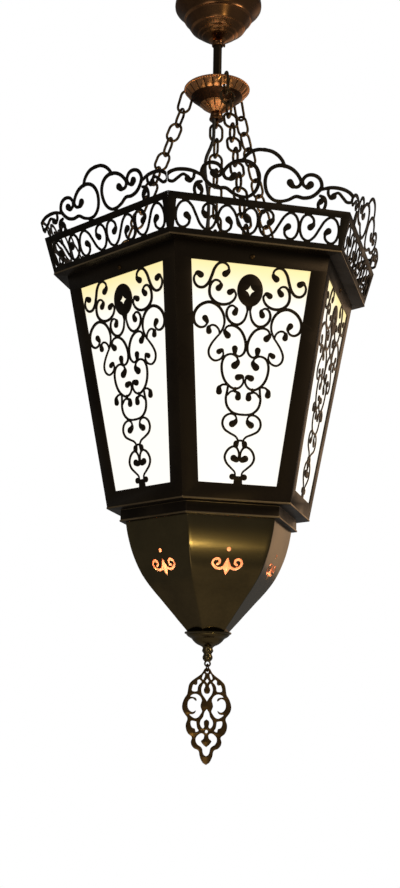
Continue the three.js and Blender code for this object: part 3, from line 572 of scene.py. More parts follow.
    @staticmethod
    def oval_path(half_length: float, half_width: float, steps: int = 20) -> np.ndarray:
        """A link's middle line in the XY plane: two straight flanks and two half circles."""
        straight = half_length - half_width
        points = []
        for start, rise in ((0.0, straight), (math.pi, -straight)):
            for k in range(steps + 1):
                a = start + math.pi * k / steps
                points.append((half_width * math.cos(a), rise + half_width * math.sin(a), 0.0))
        path = np.array(points)
        return path if straight > TINY else np.delete(path, [steps + 1, len(path) - 1], axis=0)

    @staticmethod
    def framed(points: Iterable, x: Vector, y: Vector, origin: Sequence[float]) -> np.ndarray:
        """Points moved into a frame given by its X and Y directions and its origin."""
        z = Vector(x).cross(Vector(y))
        basis = np.array([list(x), list(y), list(z)])
        return np.array([list(p) for p in points], float) @ basis + np.array(origin, float)

    @staticmethod
    def joined(lumps: Sequence[tuple[Sequence, Sequence]]) -> tuple[list, list]:
        """Several sets of points and faces as one."""
        vertices: list = []
        faces: list = []
        for points, sides in lumps:
            start = len(vertices)
            vertices.extend(list(p) for p in points)
            faces.extend([start + k for k in face] for face in sides)
        return vertices, faces

    @staticmethod
    def link(half_length: float, half_width: float, wire: float, x: Vector, y: Vector, middle: Spot) -> Lump:
        """Round wire bent to an oval link, or to an eye where both halves are the same.

        Args:
            half_length: From the middle to the wire's middle line, along the link.
            half_width: The same across the link.
            wire: The wire's radius.
            x: Direction across the link.
            y: Direction along the link.
            middle: The link's middle.

        Returns:
            Vertices and faces.
        """
        vertices, faces = Maker.wire(Maker.oval_path(half_length, half_width), wire)
        return Maker.framed(vertices, x, y, middle), faces

    @staticmethod
    def copied(obj: bpy.types.Object, name: str, turn: float) -> bpy.types.Object:
        """Another object with the same mesh, turned about the axis."""
        twin = Maker.linked(name, obj.data)
        twin.matrix_world = rotation(turn)
        return twin

    @staticmethod
    def sheet(name: str, loops: Sequence[np.ndarray], thickness: float, edge: float) -> bpy.types.Mesh:
        """A flat sheet in the XY plane, cut to closed lines, with slightly rounded edges.

        Args:
            name: The mesh's name.
            loops: Outlines and holes, in millimetres.
            thickness: The sheet's thickness.
            edge: Radius of the rounding along every edge.

        Returns:
            The mesh, in millimetres, its front face at z 0 and its back below.
        """
        curve = bpy.data.curves.new(name, "CURVE")
        curve.dimensions = "2D"
        curve.fill_mode = "BOTH"
        curve.extrude = thickness / 2 - edge
        curve.bevel_depth = edge
        curve.bevel_resolution = 1
        curve.offset = -edge
        for loop in loops:
            spline = curve.splines.new("POLY")
            spline.points.add(len(loop) - 1)
            flat = np.zeros((len(loop), 4))
            flat[:, :2] = loop
            flat[:, 3] = 1
            spline.points.foreach_set("co", flat.ravel())
            spline.use_cyclic_u = True
        holder = Maker.linked(name, curve)
        mesh = Maker.shaped(holder)
        bpy.data.objects.remove(holder)
        bpy.data.curves.remove(curve)
        mesh.transform(Matrix.Translation((0, 0, -thickness / 2)))
        return mesh


def rounded_hexagon(radius: float, corner: float, shares: Sequence[float], steps: int = 3) -> list[Point]:
    """Points round a hexagon with rounded corners and a side facing -Y.

    Args:
        radius: From the axis to the corners before they are rounded.
        corner: Radius of the rounding.
        shares: Where the points of a side's straight stretch lie, from -1 to 1.
        steps: Points on half a corner.

    Returns:
        Points for all six sides, counter-clockwise seen from above.
    """
    apothem, half = radius * APOTHEM, radius / 2
    reach = corner * MITRE
    side = [(-half + reach - corner * math.sin(a), -apothem + corner * (1 - math.cos(a)))
            for a in (math.pi / SIDES * k / steps for k in range(steps, 0, -1))]
    side += [(share * (half - reach), -apothem) for share in shares]
    side += [(half - reach + corner * math.sin(a), -apothem + corner * (1 - math.cos(a)))
             for a in (math.pi / SIDES * k / steps for k in range(1, steps))]
    found = []
    for k in range(SIDES):
        c, s = math.cos(k * SIXTH), math.sin(k * SIXTH)
        found += [(x * c - y * s, x * s + y * c) for x, y in side]
    return found


def hexagonal(name: str, profile: Profile, corner: float = 1.2, rounding: float = 0.5) -> bpy.types.Object:
    """A six-sided ring from a closed profile of corner radius and height."""
    outline = Maker.softened(profile, rounding, 2)
    rings = [rounded_hexagon(r, corner, (-1.0, 0.0, 1.0)) for r, _ in outline]
    vertices = [(x, y, z) for ring, (_, z) in zip(rings, outline) for x, y in ring]
    return Maker.piece(name, vertices, Maker.quads(Maker.looped(len(outline)), len(rings[0])))


@dataclass(frozen=True)
class LeaningSide:
    """The plane of one of the six leaning sides, the one that faces -Y.

    Args:
        top: Corner radius at the top.
        foot: Corner radius at the foot.
        height: Height from foot to top.
        foot_z: Height of the foot.
    """

    top: float
    foot: float
    height: float
    foot_z: float

    @property
    def slant(self) -> float:
        """Length up the slope for each millimetre of height."""
        return math.hypot((self.top - self.foot) * APOTHEM, self.height) / self.height

    def half_width(self, height: float) -> float:
        """Half of the side's width at a height above its foot."""
        return (self.foot + (self.top - self.foot) * height / self.height) / 2

    def matrix(self, inset: float = 0.0) -> Matrix:
        """Places a sheet: x across, y up the slope from the foot, z out of the face, in metres."""
        up = Vector((0, -(self.top - self.foot) * APOTHEM, self.height)).normalized()
        across = Vector((1, 0, 0))
        out = across.cross(up)
        origin = (Vector((0, -self.foot * APOTHEM, self.foot_z)) - out * inset) * MM
        basis = Matrix((across, up, out)).transposed().to_4x4() @ Matrix.Scale(MM, 4)
        return Matrix.Translation(origin) @ basis

    def mitred(self, mesh: bpy.types.Mesh, margin: float = 2.2) -> None:
        """Leans the sheet's side edges in with depth, so that neighbours meet along the corner."""
        for vertex in mesh.vertices:
            x, y, z = vertex.co
            edge = self.half_width(y / self.slant)
            if abs(x) > edge - margin and z < 0:
                vertex.co.x = x - math.copysign(-z * MITRE, x)

    def pierced(self, name: str, stencil: Stencil, thickness: float, edge: float) -> bpy.types.Mesh:
        """A stencil as a mitred sheet on this side, its heights drawn out along the slope."""
        loops = [loop * np.array([1.0, self.slant]) for loop in stencil.outlines()]
        mesh = Maker.sheet(name, loops, thickness, edge)
        self.mitred(mesh)
        mesh.transform(self.matrix())
        return mesh


@dataclass(frozen=True)
class Tint:
    """A colour in linear light."""

    red: float
    green: float
    blue: float

    @property
    def rgba(self) -> tuple[float, float, float, float]:
        """The colour with full alpha, as a socket takes it."""
        return (self.red, self.green, self.blue, 1.0)


class Graph:
    """Makes the nodes of one tree and feeds their inputs."""

    def __init__(self, tree: bpy.types.NodeTree) -> None:
        """Works on the given tree."""
        self.tree = tree

    def feed(self, node: bpy.types.Node, inputs: dict[str | int, Feed]) -> None:
        """Gives a node's inputs, by name or number, a value or the socket that feeds them."""
        for key, value in inputs.items():
            if isinstance(value, bpy.types.NodeSocket):
                self.tree.links.new(value, node.inputs[key])
            else:
                node.inputs[key].default_value = value

    def add(self, kind: str, inputs: dict[str | int, Feed] | None = None) -> bpy.types.Node:
        """A new shader node with its inputs."""
        node = self.tree.nodes.new(f"ShaderNode{kind}")
        self.feed(node, inputs or {})
        return node

    def shared(self, group: bpy.types.NodeTree, inputs: dict[str | int, Feed]) -> bpy.types.Node:
        """A node that holds a shared group, with its inputs."""
        node = self.add("Group")
        node.node_tree = group
        self.feed(node, inputs)
        return node

    def place(self) -> bpy.types.NodeSocket:
        """The piece's own coordinates."""
        return self.add("TexCoord").outputs["Object"]

    def noise(self, vector: bpy.types.NodeSocket, scale: Feed, detail: float) -> bpy.types.NodeSocket:
        """Noise over a vector."""
        return self.add("TexNoise", {"Vector": vector, "Scale": scale, "Detail": detail}).outputs["Fac"]

    def ramp(self, value: Feed, low: Feed, high: Feed, to: Point = (0.0, 1.0), shape: str = "LINEAR") -> Feed:
        """A value carried from the range between low and high to another."""
        node = self.add("MapRange")
        node.interpolation_type = shape
        self.feed(node, {"Value": value, "From Min": low, "From Max": high, "To Min": to[0], "To Max": to[1]})
        return node.outputs["Result"]

    def sum(self, operation: str, *terms: Feed, clamped: bool = False) -> Feed:
        """What an operation makes of its terms."""
        node = self.add("Math")
        node.operation = operation
        node.use_clamp = clamped
        self.feed(node, dict(enumerate(terms)))
        return node.outputs[0]

    def mix(self, factor: Feed, a: Feed, b: Feed, kind: str = "FLOAT") -> Feed:
        """A blend of two values, or of two colours if the kind is RGBA."""
        node = self.add("Mix")
        node.data_type = kind
        self.feed(node, {"Factor": factor, "A": a, "B": b})
        return node.outputs["Result"]


class ShaderKit:
    """Node groups that several finishes share, each built when it is first asked for."""

    @staticmethod
    def _group(name: str, inputs: Sequence[tuple], outputs: Sequence[tuple[str, str]]) -> tuple:
        """A new node group.

        Args:
            name: The group's name.
            inputs: Name, kind and value of each input.
            outputs: Name and kind of each output.

        Returns:
            Its graph, the sockets that give its inputs, and its output node.
        """
        tree = bpy.data.node_groups.new(name, "ShaderNodeTree")
        for label, kind, value in inputs:
            socket = tree.interface.new_socket(name=label, in_out="INPUT", socket_type=f"NodeSocket{kind}")
            socket.default_value = value
        for label, kind in outputs:
            tree.interface.new_socket(name=label, in_out="OUTPUT", socket_type=f"NodeSocket{kind}")
        return Graph(tree), tree.nodes.new("NodeGroupInput").outputs, tree.nodes.new("NodeGroupOutput")

    @cached_property
    def patina(self) -> bpy.types.NodeTree:
        """Cloudy staining of a lacquered or aged metal: colour and roughness that drift together."""
        graph, given, result = self._group(
            "patina",
            [
                ("Metal", "Color", (0.5, 0.4, 0.3, 1)),
                ("Stain", "Color", (0.1, 0.08, 0.06, 1)),
                ("Cloud Scale", "Float", 18.0),
                ("Speck Scale", "Float", 240.0),
                ("Amount", "Float", 0.6),
                ("Smooth", "Float", 0.3),
                ("Rough", "Float", 0.5),
            ],
            [("Color", "Color"), ("Roughness", "Float")],
        )
        place = graph.place()
        clouds = graph.ramp(graph.noise(place, given["Cloud Scale"], 5.0), 0.36, 0.66)
        specks = graph.ramp(graph.noise(place, given["Speck Scale"], 2.0), 0.42, 0.62, (-0.08, 0.08))
        both = graph.sum("ADD", clouds, specks, clamped=True)
        share = graph.sum("MULTIPLY", both, given["Amount"])
        colour = graph.mix(share, given["Metal"], given["Stain"], "RGBA")
        graph.feed(result, {"Color": colour, "Roughness": graph.mix(both, given["Smooth"], given["Rough"])})
        return graph.tree

    @cached_property
    def brushing(self) -> bpy.types.NodeTree:
        """Fine parallel scratches: a height that is drawn out along one direction."""
        graph, given, result = self._group(
            "brushing",
            [("Along", "Vector", (0.05, 1.0, 1.0)), ("Scale", "Float", 900.0), ("Grain", "Float", 0.35)],
            [("Height", "Float")],
        )
        place = graph.place()
        stretch = graph.add("VectorMath")
        stretch.operation = "MULTIPLY"
        graph.feed(stretch, {0: place, 1: given["Along"]})
        lines = graph.noise(stretch.outputs[0], given["Scale"], 3.0)
        dots = graph.noise(place, 1400.0, 1.0)
        graph.feed(result, {"Height": graph.mix(given["Grain"], lines, dots)})
        return graph.tree

    @cached_property
    def lit_glass(self) -> bpy.types.NodeTree:
        """Colour of glass lit from inside, with one colour at the top, the middle and the foot."""
        graph, given, result = self._group(
            "lit glass",
            [
                ("Top", "Color", (1, 0.9, 0.6, 1)),
                ("Middle", "Color", (1, 1, 1, 1)),
                ("Foot", "Color", (1, 0.8, 0.6, 1)),
                ("Foot Height", "Float", -0.76),
                ("Top Height", "Float", -0.47),
            ],
            [("Color", "Color")],
        )
        place = graph.place()
        height = graph.add("SeparateXYZ", {0: place}).outputs["Z"]
        share = graph.ramp(height, given["Foot Height"], given["Top Height"])
        drift = graph.sum("MULTIPLY_ADD", graph.noise(place, 9.0, 2.0), 0.12, share)
        high = graph.ramp(drift, 0.82, 1.03, shape="SMOOTHSTEP")
        low = graph.ramp(drift, 0.3, 0.05, shape="SMOOTHSTEP")
        upper = graph.mix(high, given["Middle"], given["Top"], "RGBA")
        graph.feed(result, {"Color": graph.mix(low, upper, given["Foot"], "RGBA")})
        return graph.tree


@dataclass(frozen=True)
class Finish(ABC):
    """What a surface looks like.

    Args:
        name: The material's name.
    """

    name: str

    def material(self, kit: ShaderKit) -> bpy.types.Material:
        """Builds the material, or returns it if it is there."""
        known = bpy.data.materials.get(self.name)
        if known:
            return known
        made = bpy.data.materials.new(self.name)
        made.use_nodes = True
        self.paint(Graph(made.node_tree), made.node_tree.nodes["Principled BSDF"], kit)
        return made

    @abstractmethod
    def paint(self, graph: Graph, shader: bpy.types.Node, kit: ShaderKit) -> None:
        """Feeds the material's shader."""


@dataclass(frozen=True)
class MetalFinish(Finish):
    """A lacquered, burnished or aged metal.

    Args:
        metal: Colour where it is clean.
        stain: Colour where it is stained.
        smooth: Roughness where it is clean.
        rough: Roughness where it is stained.
        amount: How much of the stain shows.
        cloud: Scale of the staining.
        along: Stretch of the brushed lines on each axis.
        depth: Depth of the brushed lines in millimetres.
        metallic: Share of bare metal under the lacquer.
        coat: Weight of a clear lacquer.
    """

    metal: Tint
    stain: Tint
    smooth: float = 0.3
    rough: float = 0.5
    amount: float = 0.7
    cloud: float = 18.0
    along: Spot = (0.06, 0.06, 1.0)
    depth: float = 0.02
    metallic: float = 1.0
    coat: float = 0.0

    def paint(self, graph: Graph, shader: bpy.types.Node, kit: ShaderKit) -> None:
        """Feeds the shader with the patina and the brushed lines."""
        stained = {
            "Metal": self.metal.rgba,
            "Stain": self.stain.rgba,
            "Cloud Scale": self.cloud,
            "Amount": self.amount,
            "Smooth": self.smooth,
            "Rough": self.rough,
        }
        patina = graph.shared(kit.patina, stained)
        lines = graph.shared(kit.brushing, {"Along": self.along}).outputs["Height"]
        bump = graph.add("Bump", {"Strength": 0.6, "Distance": self.depth * MM, "Height": lines})
        surface = {
            "Metallic": self.metallic,
            "Coat Weight": self.coat,
            "Coat Roughness": 0.18,
            "Base Color": patina.outputs["Color"],
            "Roughness": patina.outputs["Roughness"],
            "Normal": bump.outputs["Normal"],
        }
        graph.feed(shader, surface)


@dataclass(frozen=True)
class GlassFinish(Finish):
    """Glass that glows with the lamps behind it.

    Args:
        top: Colour of its glow at the top.
        middle: Colour of its glow half way.
        foot: Colour of its glow at the foot.
        strength: Strength of the glow.
        foot_height: Height that counts as the foot, in metres.
        top_height: Height that counts as the top, in metres.
    """

    top: Tint
    middle: Tint
    foot: Tint
    strength: float
    foot_height: float
    top_height: float

    def paint(self, graph: Graph, shader: bpy.types.Node, kit: ShaderKit) -> None:
        """Feeds the shader with the glow."""
        glowing = {
            "Top": self.top.rgba,
            "Middle": self.middle.rgba,
            "Foot": self.foot.rgba,
            "Foot Height": self.foot_height,
            "Top Height": self.top_height,
        }
        surface = {
            "Base Color": (0.3, 0.28, 0.23, 1),
            "Roughness": 0.22,
            "Specular IOR Level": 0.4,
            "Emission Strength": self.strength,
            "Emission Color": graph.shared(kit.lit_glass, glowing).outputs["Color"],
        }
        graph.feed(shader, surface)


@dataclass
class Finishes:
    """Every finish on the lantern."""

    kit: ShaderKit = field(default_factory=ShaderKit)
    steel: MetalFinish = MetalFinish(
        "zinc_plated_steel", Tint(0.42, 0.42, 0.4), Tint(0.25, 0.25, 0.24), 0.3, 0.5, 0.6, 30.0
    )
    bronze: MetalFinish = MetalFinish(
        "dark_bronze_sheet", Tint(0.04, 0.028, 0.016), Tint(0.012, 0.008, 0.005), 0.3, 0.5, 0.8,
        14.0, (1.0, 1.0, 0.05), 0.012, 0.85,
    )
    scroll_bronze: MetalFinish = MetalFinish(
        "blackened_scroll_bronze", Tint(0.022, 0.016, 0.01), Tint(0.007, 0.005, 0.003), 0.4, 0.6,
        0.8, 30.0, (1.0, 1.0, 1.0), 0.015, 0.8,
    )
    # Pale bronze that paints highlights along the soffit's and collar's lips, and is the spider's own colour.
    pale_highlight_bronze: MetalFinish = MetalFinish(
        "pale_highlight_bronze_lips", Tint(0.34, 0.25, 0.14), Tint(0.09, 0.062, 0.035), 0.3, 0.44, 0.7,
        16.0, (0.05, 0.05, 1.0), 0.015, 0.95,
    )
    chain_bronze: MetalFinish = MetalFinish(
        "blackened_chain", Tint(0.13, 0.085, 0.04), Tint(0.014, 0.009, 0.005), 0.26, 0.5, 0.85,
        60.0, (1.0, 1.0, 1.0), 0.01, 0.9,
    )
    copper: MetalFinish = MetalFinish(
        "burnished_copper", Tint(0.72, 0.34, 0.14), Tint(0.2, 0.08, 0.03), 0.22, 0.36, 0.6, 40.0,
        (0.05, 0.05, 1.0), 0.015, 1.0,
    )
    # Brighter copper that paints highlights on rings of the canopy's steps.
    step_highlight_copper: MetalFinish = MetalFinish(
        "painted_highlight_copper_steps", Tint(0.4, 0.19, 0.08), Tint(0.12, 0.055, 0.026), 0.15, 0.28, 0.8, 26.0,
        (0.03, 0.03, 1.0), 0.012, 1.0,
    )
    # Paler copper on the bowl's inside faces: painted glow added to the inner lamp's light seen through the
    # motif.
    bowl_inside_glow_copper: MetalFinish = MetalFinish(
        "painted_glow_copper_inside", Tint(0.66, 0.33, 0.18), Tint(0.42, 0.14, 0.07), 0.5, 0.65, 0.8, 34.0,
        (1.0, 1.0, 1.0), 0.02, 0.25,
    )
    # Dark copper that paints shade in the dish's grooves between petals, and a darker band under the upper
    # petals.
    groove_shade_copper: MetalFinish = MetalFinish(
        "painted_shade_copper", Tint(0.06, 0.028, 0.014), Tint(0.018, 0.009, 0.005), 0.34, 0.55, 0.7, 40.0,
        (0.05, 0.05, 1.0), 0.015, 1.0,
    )
    canopy_bronze: MetalFinish = MetalFinish(
        "spun_bronze", Tint(0.2, 0.1, 0.045), Tint(0.035, 0.018, 0.01), 0.22, 0.42, 0.8, 16.0,
        (0.03, 0.03, 1.0), 0.02, 1.0,
    )
    bowl_brass: MetalFinish = MetalFinish(
        "brushed_aged_brass", Tint(0.15, 0.115, 0.055), Tint(0.05, 0.04, 0.022), 0.17, 0.22, 0.6, 12.0,
        (0.04, 0.04, 1.0), 0.03, 1.0,
    )
    drop_brass: MetalFinish = MetalFinish(
        "rubbed_drop_brass", Tint(0.14, 0.085, 0.035), Tint(0.02, 0.012, 0.006), 0.28, 0.46, 0.75, 40.0,
        (1.0, 1.0, 1.0), 0.02, 1.0,
    )
    rubber: MetalFinish = MetalFinish(
        "flex_sheath", Tint(0.014, 0.01, 0.007), Tint(0.006, 0.005, 0.004), 0.5, 0.65, 0.5, 60.0,
        (1.0, 1.0, 1.0), 0.02, 0.0,
    )
    porcelain: MetalFinish = MetalFinish(
        "white_porcelain", Tint(0.75, 0.72, 0.66), Tint(0.62, 0.58, 0.5), 0.12, 0.25, 0.4, 30.0,
        (1.0, 1.0, 1.0), 0.004, 0.0, 0.6,
    )
    opal: GlassFinish = GlassFinish(
        "lit_opal_glass", Tint(1.0, 0.83, 0.36), Tint(1.0, 0.985, 0.93), Tint(1.0, 0.98, 0.94), 0.98,
        -0.765, -0.452,
    )
    bulb: GlassFinish = GlassFinish(
        "lit_bulb_glass", Tint(1.0, 0.85, 0.6), Tint(1.0, 0.85, 0.6), Tint(1.0, 0.85, 0.6), 3.0,
        -0.66, -0.55,
    )

    def dress(self, obj: bpy.types.Object, finish: Finish, slot: str | None = None) -> None:
        """Gives an object its finish."""
        obj.data.materials.clear()
        obj.data.materials.append(finish.material(self.kit))


@dataclass(frozen=True)
class Kind:
    """A piece that the lantern has six of, one for each side.

    Args:
        shown: What the shown pieces' names start with.
        node: What the frame's node names start with.
        mesh: The mesh of the one that faces -Y.
        finish: Its finish.
        slot: The frame's material slot that it answers to.
    """

    shown: str
    node: str
    mesh: bpy.types.Mesh
    finish: Finish
    slot: str


@dataclass
class Shop:
    """What every sub-assembly needs: the frame and the finishes."""

    frame: dict
    finishes: Finishes

    def fit(self, obj: bpy.types.Object, body: str, finish: Finish, slot: str, *nodes: str) -> None:
        """Dresses a piece, hangs it on its body and lets it stand for the frame's nodes."""
        self.finishes.dress(obj, finish, slot)
        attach(obj, body)
        if nodes:
            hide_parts(*nodes)
        LOG.info("%s on %s: %d faces", obj.name, body, len(obj.data.polygons) if obj.type == "MESH" else 0)

    def six(self, *kinds: Kind) -> None:
        """Sets up six of each kind of piece round the axis."""
        firsts: dict[str, bpy.types.Object] = {}
        for k in range(SIDES):
            for kind in kinds:
                name = f"{kind.shown}_{k + 1}"
                first = firsts.get(kind.shown)
                piece = Maker.copied(first, name, k * SIXTH) if first else Maker.finished(name, kind.mesh)
                firsts.setdefault(kind.shown, piece)
                self.fit(piece, "lantern", kind.finish, kind.slot, f"{kind.node}_{k + 1}")

    def patch(
        self, obj: bpy.types.Object, finish: MetalFinish, chosen: Callable[[Vector, Vector], bool]
    ) -> None:
        """Gives some of a piece's faces a second finish.

        Args:
            obj: The piece.
            finish: The second finish.
            chosen: Tells from a face's middle, in millimetres, and its normal whether it gets the finish.
        """
        obj.data.materials.append(finish.material(self.finishes.kit))
        for face in obj.data.polygons:
            if chosen(face.center / MM, face.normal):
                face.material_index = 1

    def keep(self, node: str, finish: Finish) -> None:
        """Leaves a frame node in place with a better finish."""
        self.finishes.dress(self.frame["nodes"][node], finish)
        LOG.info("%s kept from the frame", node)


@dataclass
class PhotoCamera:
    """The camera that took the photograph, as low as the lantern's drop and to its left.

    Args:
        place: Where it stands, in metres.
        focal: Focal length in pixels of the photograph.
        centre: Pixel that the lens's axis passes.
        size: The photograph's width and height in pixels.
        heading: Degrees from +Y towards +X.
        pitch: Degrees above the horizon.
        roll: Degrees that the picture is turned.
        sensor: Width of the sensor in millimetres.
        clip: Nearest and farthest distance that it sees, in metres.
    """

    place: tuple[float, float, float] = (-0.4823, -1.6967, -1.0498)
    focal: float = 1319.3
    centre: tuple[float, float] = (160.0, 490.0)
    size: tuple[int, int] = (400, 888)
    heading: float = 13.649
    pitch: float = 10.164
    roll: float = 1.336
    sensor: float = 36.0
    clip: Point = (0.05, 50.0)

    def build(self) -> None:
        """Makes the camera and sets it as the scene's."""
        heading, pitch, roll = (math.radians(a) for a in (self.heading, self.pitch, self.roll))
        flat = math.cos(pitch)
        ahead = Vector((math.sin(heading) * flat, math.cos(heading) * flat, math.sin(pitch)))
        level = Vector((math.cos(heading), -math.sin(heading), 0))
        above = level.cross(ahead)
        right = math.cos(roll) * level + math.sin(roll) * above
        up = -math.sin(roll) * level + math.cos(roll) * above
        data = bpy.data.cameras.new("photo_camera")
        longest = max(self.size)
        data.sensor_width = self.sensor
        data.lens = self.focal / longest * self.sensor
        data.shift_x = (self.size[0] / 2 - self.centre[0]) / longest
        data.shift_y = (self.centre[1] - self.size[1] / 2) / longest
        data.clip_start, data.clip_end = self.clip
        camera = Maker.linked("photo_camera", data)
        camera.matrix_world = Matrix((right, up, -ahead)).transposed().to_4x4()
        camera.location = self.place
        bpy.context.scene.camera = camera


@dataclass(frozen=True)
class Softbox:
    """An oblong light that faces the lantern's middle.

    Args:
        name: The light's name.
        place: Where it stands, in metres.
        size: Its width and height.
        power: Its power in watts.
        colour: Its colour.
    """

    name: str
    place: Spot
    size: Point
    power: float
    colour: Spot


@dataclass
class Studio:
    """A pale floor, a plain bright surround and soft lights.

    Args:
        floor_z: Height of the floor, in metres.
        floor_half: Half of the floor's width.
        surround: Strength of the light that comes from all around.
        aim: What the softboxes face.
        softboxes: The lights round the lantern.
        glows: Name, height, radius and power of the lights inside body and bowl.
        glow_colour: Their colour.
    """

    floor_z: float = -2.3
    floor_half: float = 1.6
    surround: float = 0.13
    aim: Spot = (0, 0, -0.55)
    softboxes: tuple[Softbox, ...] = (
        Softbox("key", (1.9, -1.5, 0.3), (1.0, 1.0), 22.0, (1.0, 0.82, 0.6)),
        Softbox("fill", (-1.9, -1.9, -0.1), (1.6, 1.6), 7.0, (1.0, 0.88, 0.72)),
        Softbox("rear", (2.0, 2.0, -0.3), (1.5, 1.5), 4.0, (1.0, 0.6, 0.3)),
        Softbox("strip", (0.47, -2.4, -1.9), (0.3, 0.06), 4.5, (1.0, 0.8, 0.38)),
        Softbox("under", (-0.6, -1.4, -2.1), (1.2, 1.2), 3.0, (1.0, 0.84, 0.62)),
    )
    glows: tuple[tuple[str, float, float, float], ...] = (
        ("inner_glow", -0.66, 0.05, 3.0),
        ("bowl_glow", -0.81, 0.04, 0.2),
    )
    glow_colour: Spot = (1.0, 0.6, 0.36)

    def build(self) -> None:
        """Makes the floor, the surround and the lights."""
        self._floor()
        self._surround()
        for box in self.softboxes:
            light = self._light(box.name, "AREA", box.place, box.power, box.colour)
            light.data.shape = "RECTANGLE"
            light.data.size, light.data.size_y = box.size
            light.rotation_mode = "QUATERNION"
            light.rotation_quaternion = (Vector(self.aim) - Vector(box.place)).to_track_quat("-Z", "Y")
        for name, height, radius, power in self.glows:
            light = self._light(name, "POINT", (0, 0, height), power, self.glow_colour)
            light.data.shadow_soft_size = radius
        settings = bpy.context.scene.view_settings
        settings.view_transform = "Standard"
        settings.look = "None"

    def _floor(self) -> None:
        """The floor far below the lantern."""
        mesh = bpy.data.meshes.new("pale_floor")
        corners = upright(self.floor_half, -self.floor_half, self.floor_half, self.floor_half)
        mesh.from_pydata([(x, y, self.floor_z) for x, y in corners], [], [(0, 1, 2, 3)])
        paint = bpy.data.materials.new("pale_floor_paint")
        paint.use_nodes = True
        shader = paint.node_tree.nodes["Principled BSDF"]
        Graph(paint.node_tree).feed(shader, {"Base Color": (0.8, 0.79, 0.77, 1), "Roughness": 0.8})
        mesh.materials.append(paint)
        Maker.linked("pale_floor", mesh)

    def _surround(self) -> None:
        """White to the camera, and a dimmer grey for lighting and reflections."""
        world = bpy.data.worlds.new("surround")
        world.use_nodes = True
        graph, nodes = Graph(world.node_tree), world.node_tree.nodes
        seen = nodes["Background"]
        graph.feed(seen, {"Color": (1, 1, 1, 1), "Strength": 1.0})
        lit = graph.add("Background", {"Color": (1.0, 0.97, 0.93, 1), "Strength": self.surround})
        path = graph.add("LightPath")
        mix = graph.add("MixShader", {0: path.outputs["Is Camera Ray"]})
        graph.feed(mix, {1: lit.outputs["Background"], 2: seen.outputs["Background"]})
        graph.feed(nodes["World Output"], {"Surface": mix.outputs["Shader"]})
        bpy.context.scene.world = world

    @staticmethod
    def _light(name: str, kind: str, place: Spot, power: float, colour: Spot) -> bpy.types.Object:
        """A light that the camera doesn't see itself."""
        data = bpy.data.lights.new(name, kind)
        data.energy = power
        data.color = colour
        light = Maker.linked(name, data)
        light.location = place
        light.visible_camera = False
        return light


@dataclass
class Flex:
    """The lamp's flex, hanging loose beside the middle chain between two grips.

    Args:
        radius: The flex's radius.
        step: Rough distance between the points of its curve.
        route: What its middle line passes.
    """

    radius: float = 2.5
    step: float = 9.0
    route: tuple[Spot, ...] = (
        (-5.1, -5.1, -196.1), (-5.1, -5.1, -208), (-5.1, -5.1, -222), (-6.6, -5.8, -231),
        (-10.5, -5.8, -243), (-14.8, -5.4, -254), (-16.8, -5, -266), (-16.6, -5, -280), (-14, -5.6, -297),
        (-11.6, -5.8, -314), (-11, -5.8, -336), (-12.4, -5.6, -360), (-16.4, -5, -384), (-21.4, -2.4, -405),
        (-24, 0, -422), (-24, 0, -440.1),
    )

    def build(self, shop: Shop) -> None:
        points = through(self.route, self.step)
        curve = bpy.data.curves.new("flex_cable", "CURVE")
        curve.dimensions = "3D"
        curve.bevel_depth = self.radius * MM
        curve.bevel_resolution = 5
        curve.use_fill_caps = True
        spline = curve.splines.new("POLY")
        spline.points.add(len(points) - 1)
        for target, place in zip(spline.points, points):
            target.co = (*(place * MM), 1.0)
        spline.use_smooth = True
        cable = Maker.linked("flex_cable", curve)
        shop.fit(cable, "lantern", shop.finishes.rubber, "rubber", "flex")
        length = float(np.linalg.norm(np.diff(points, axis=0), axis=1).sum()) * MM


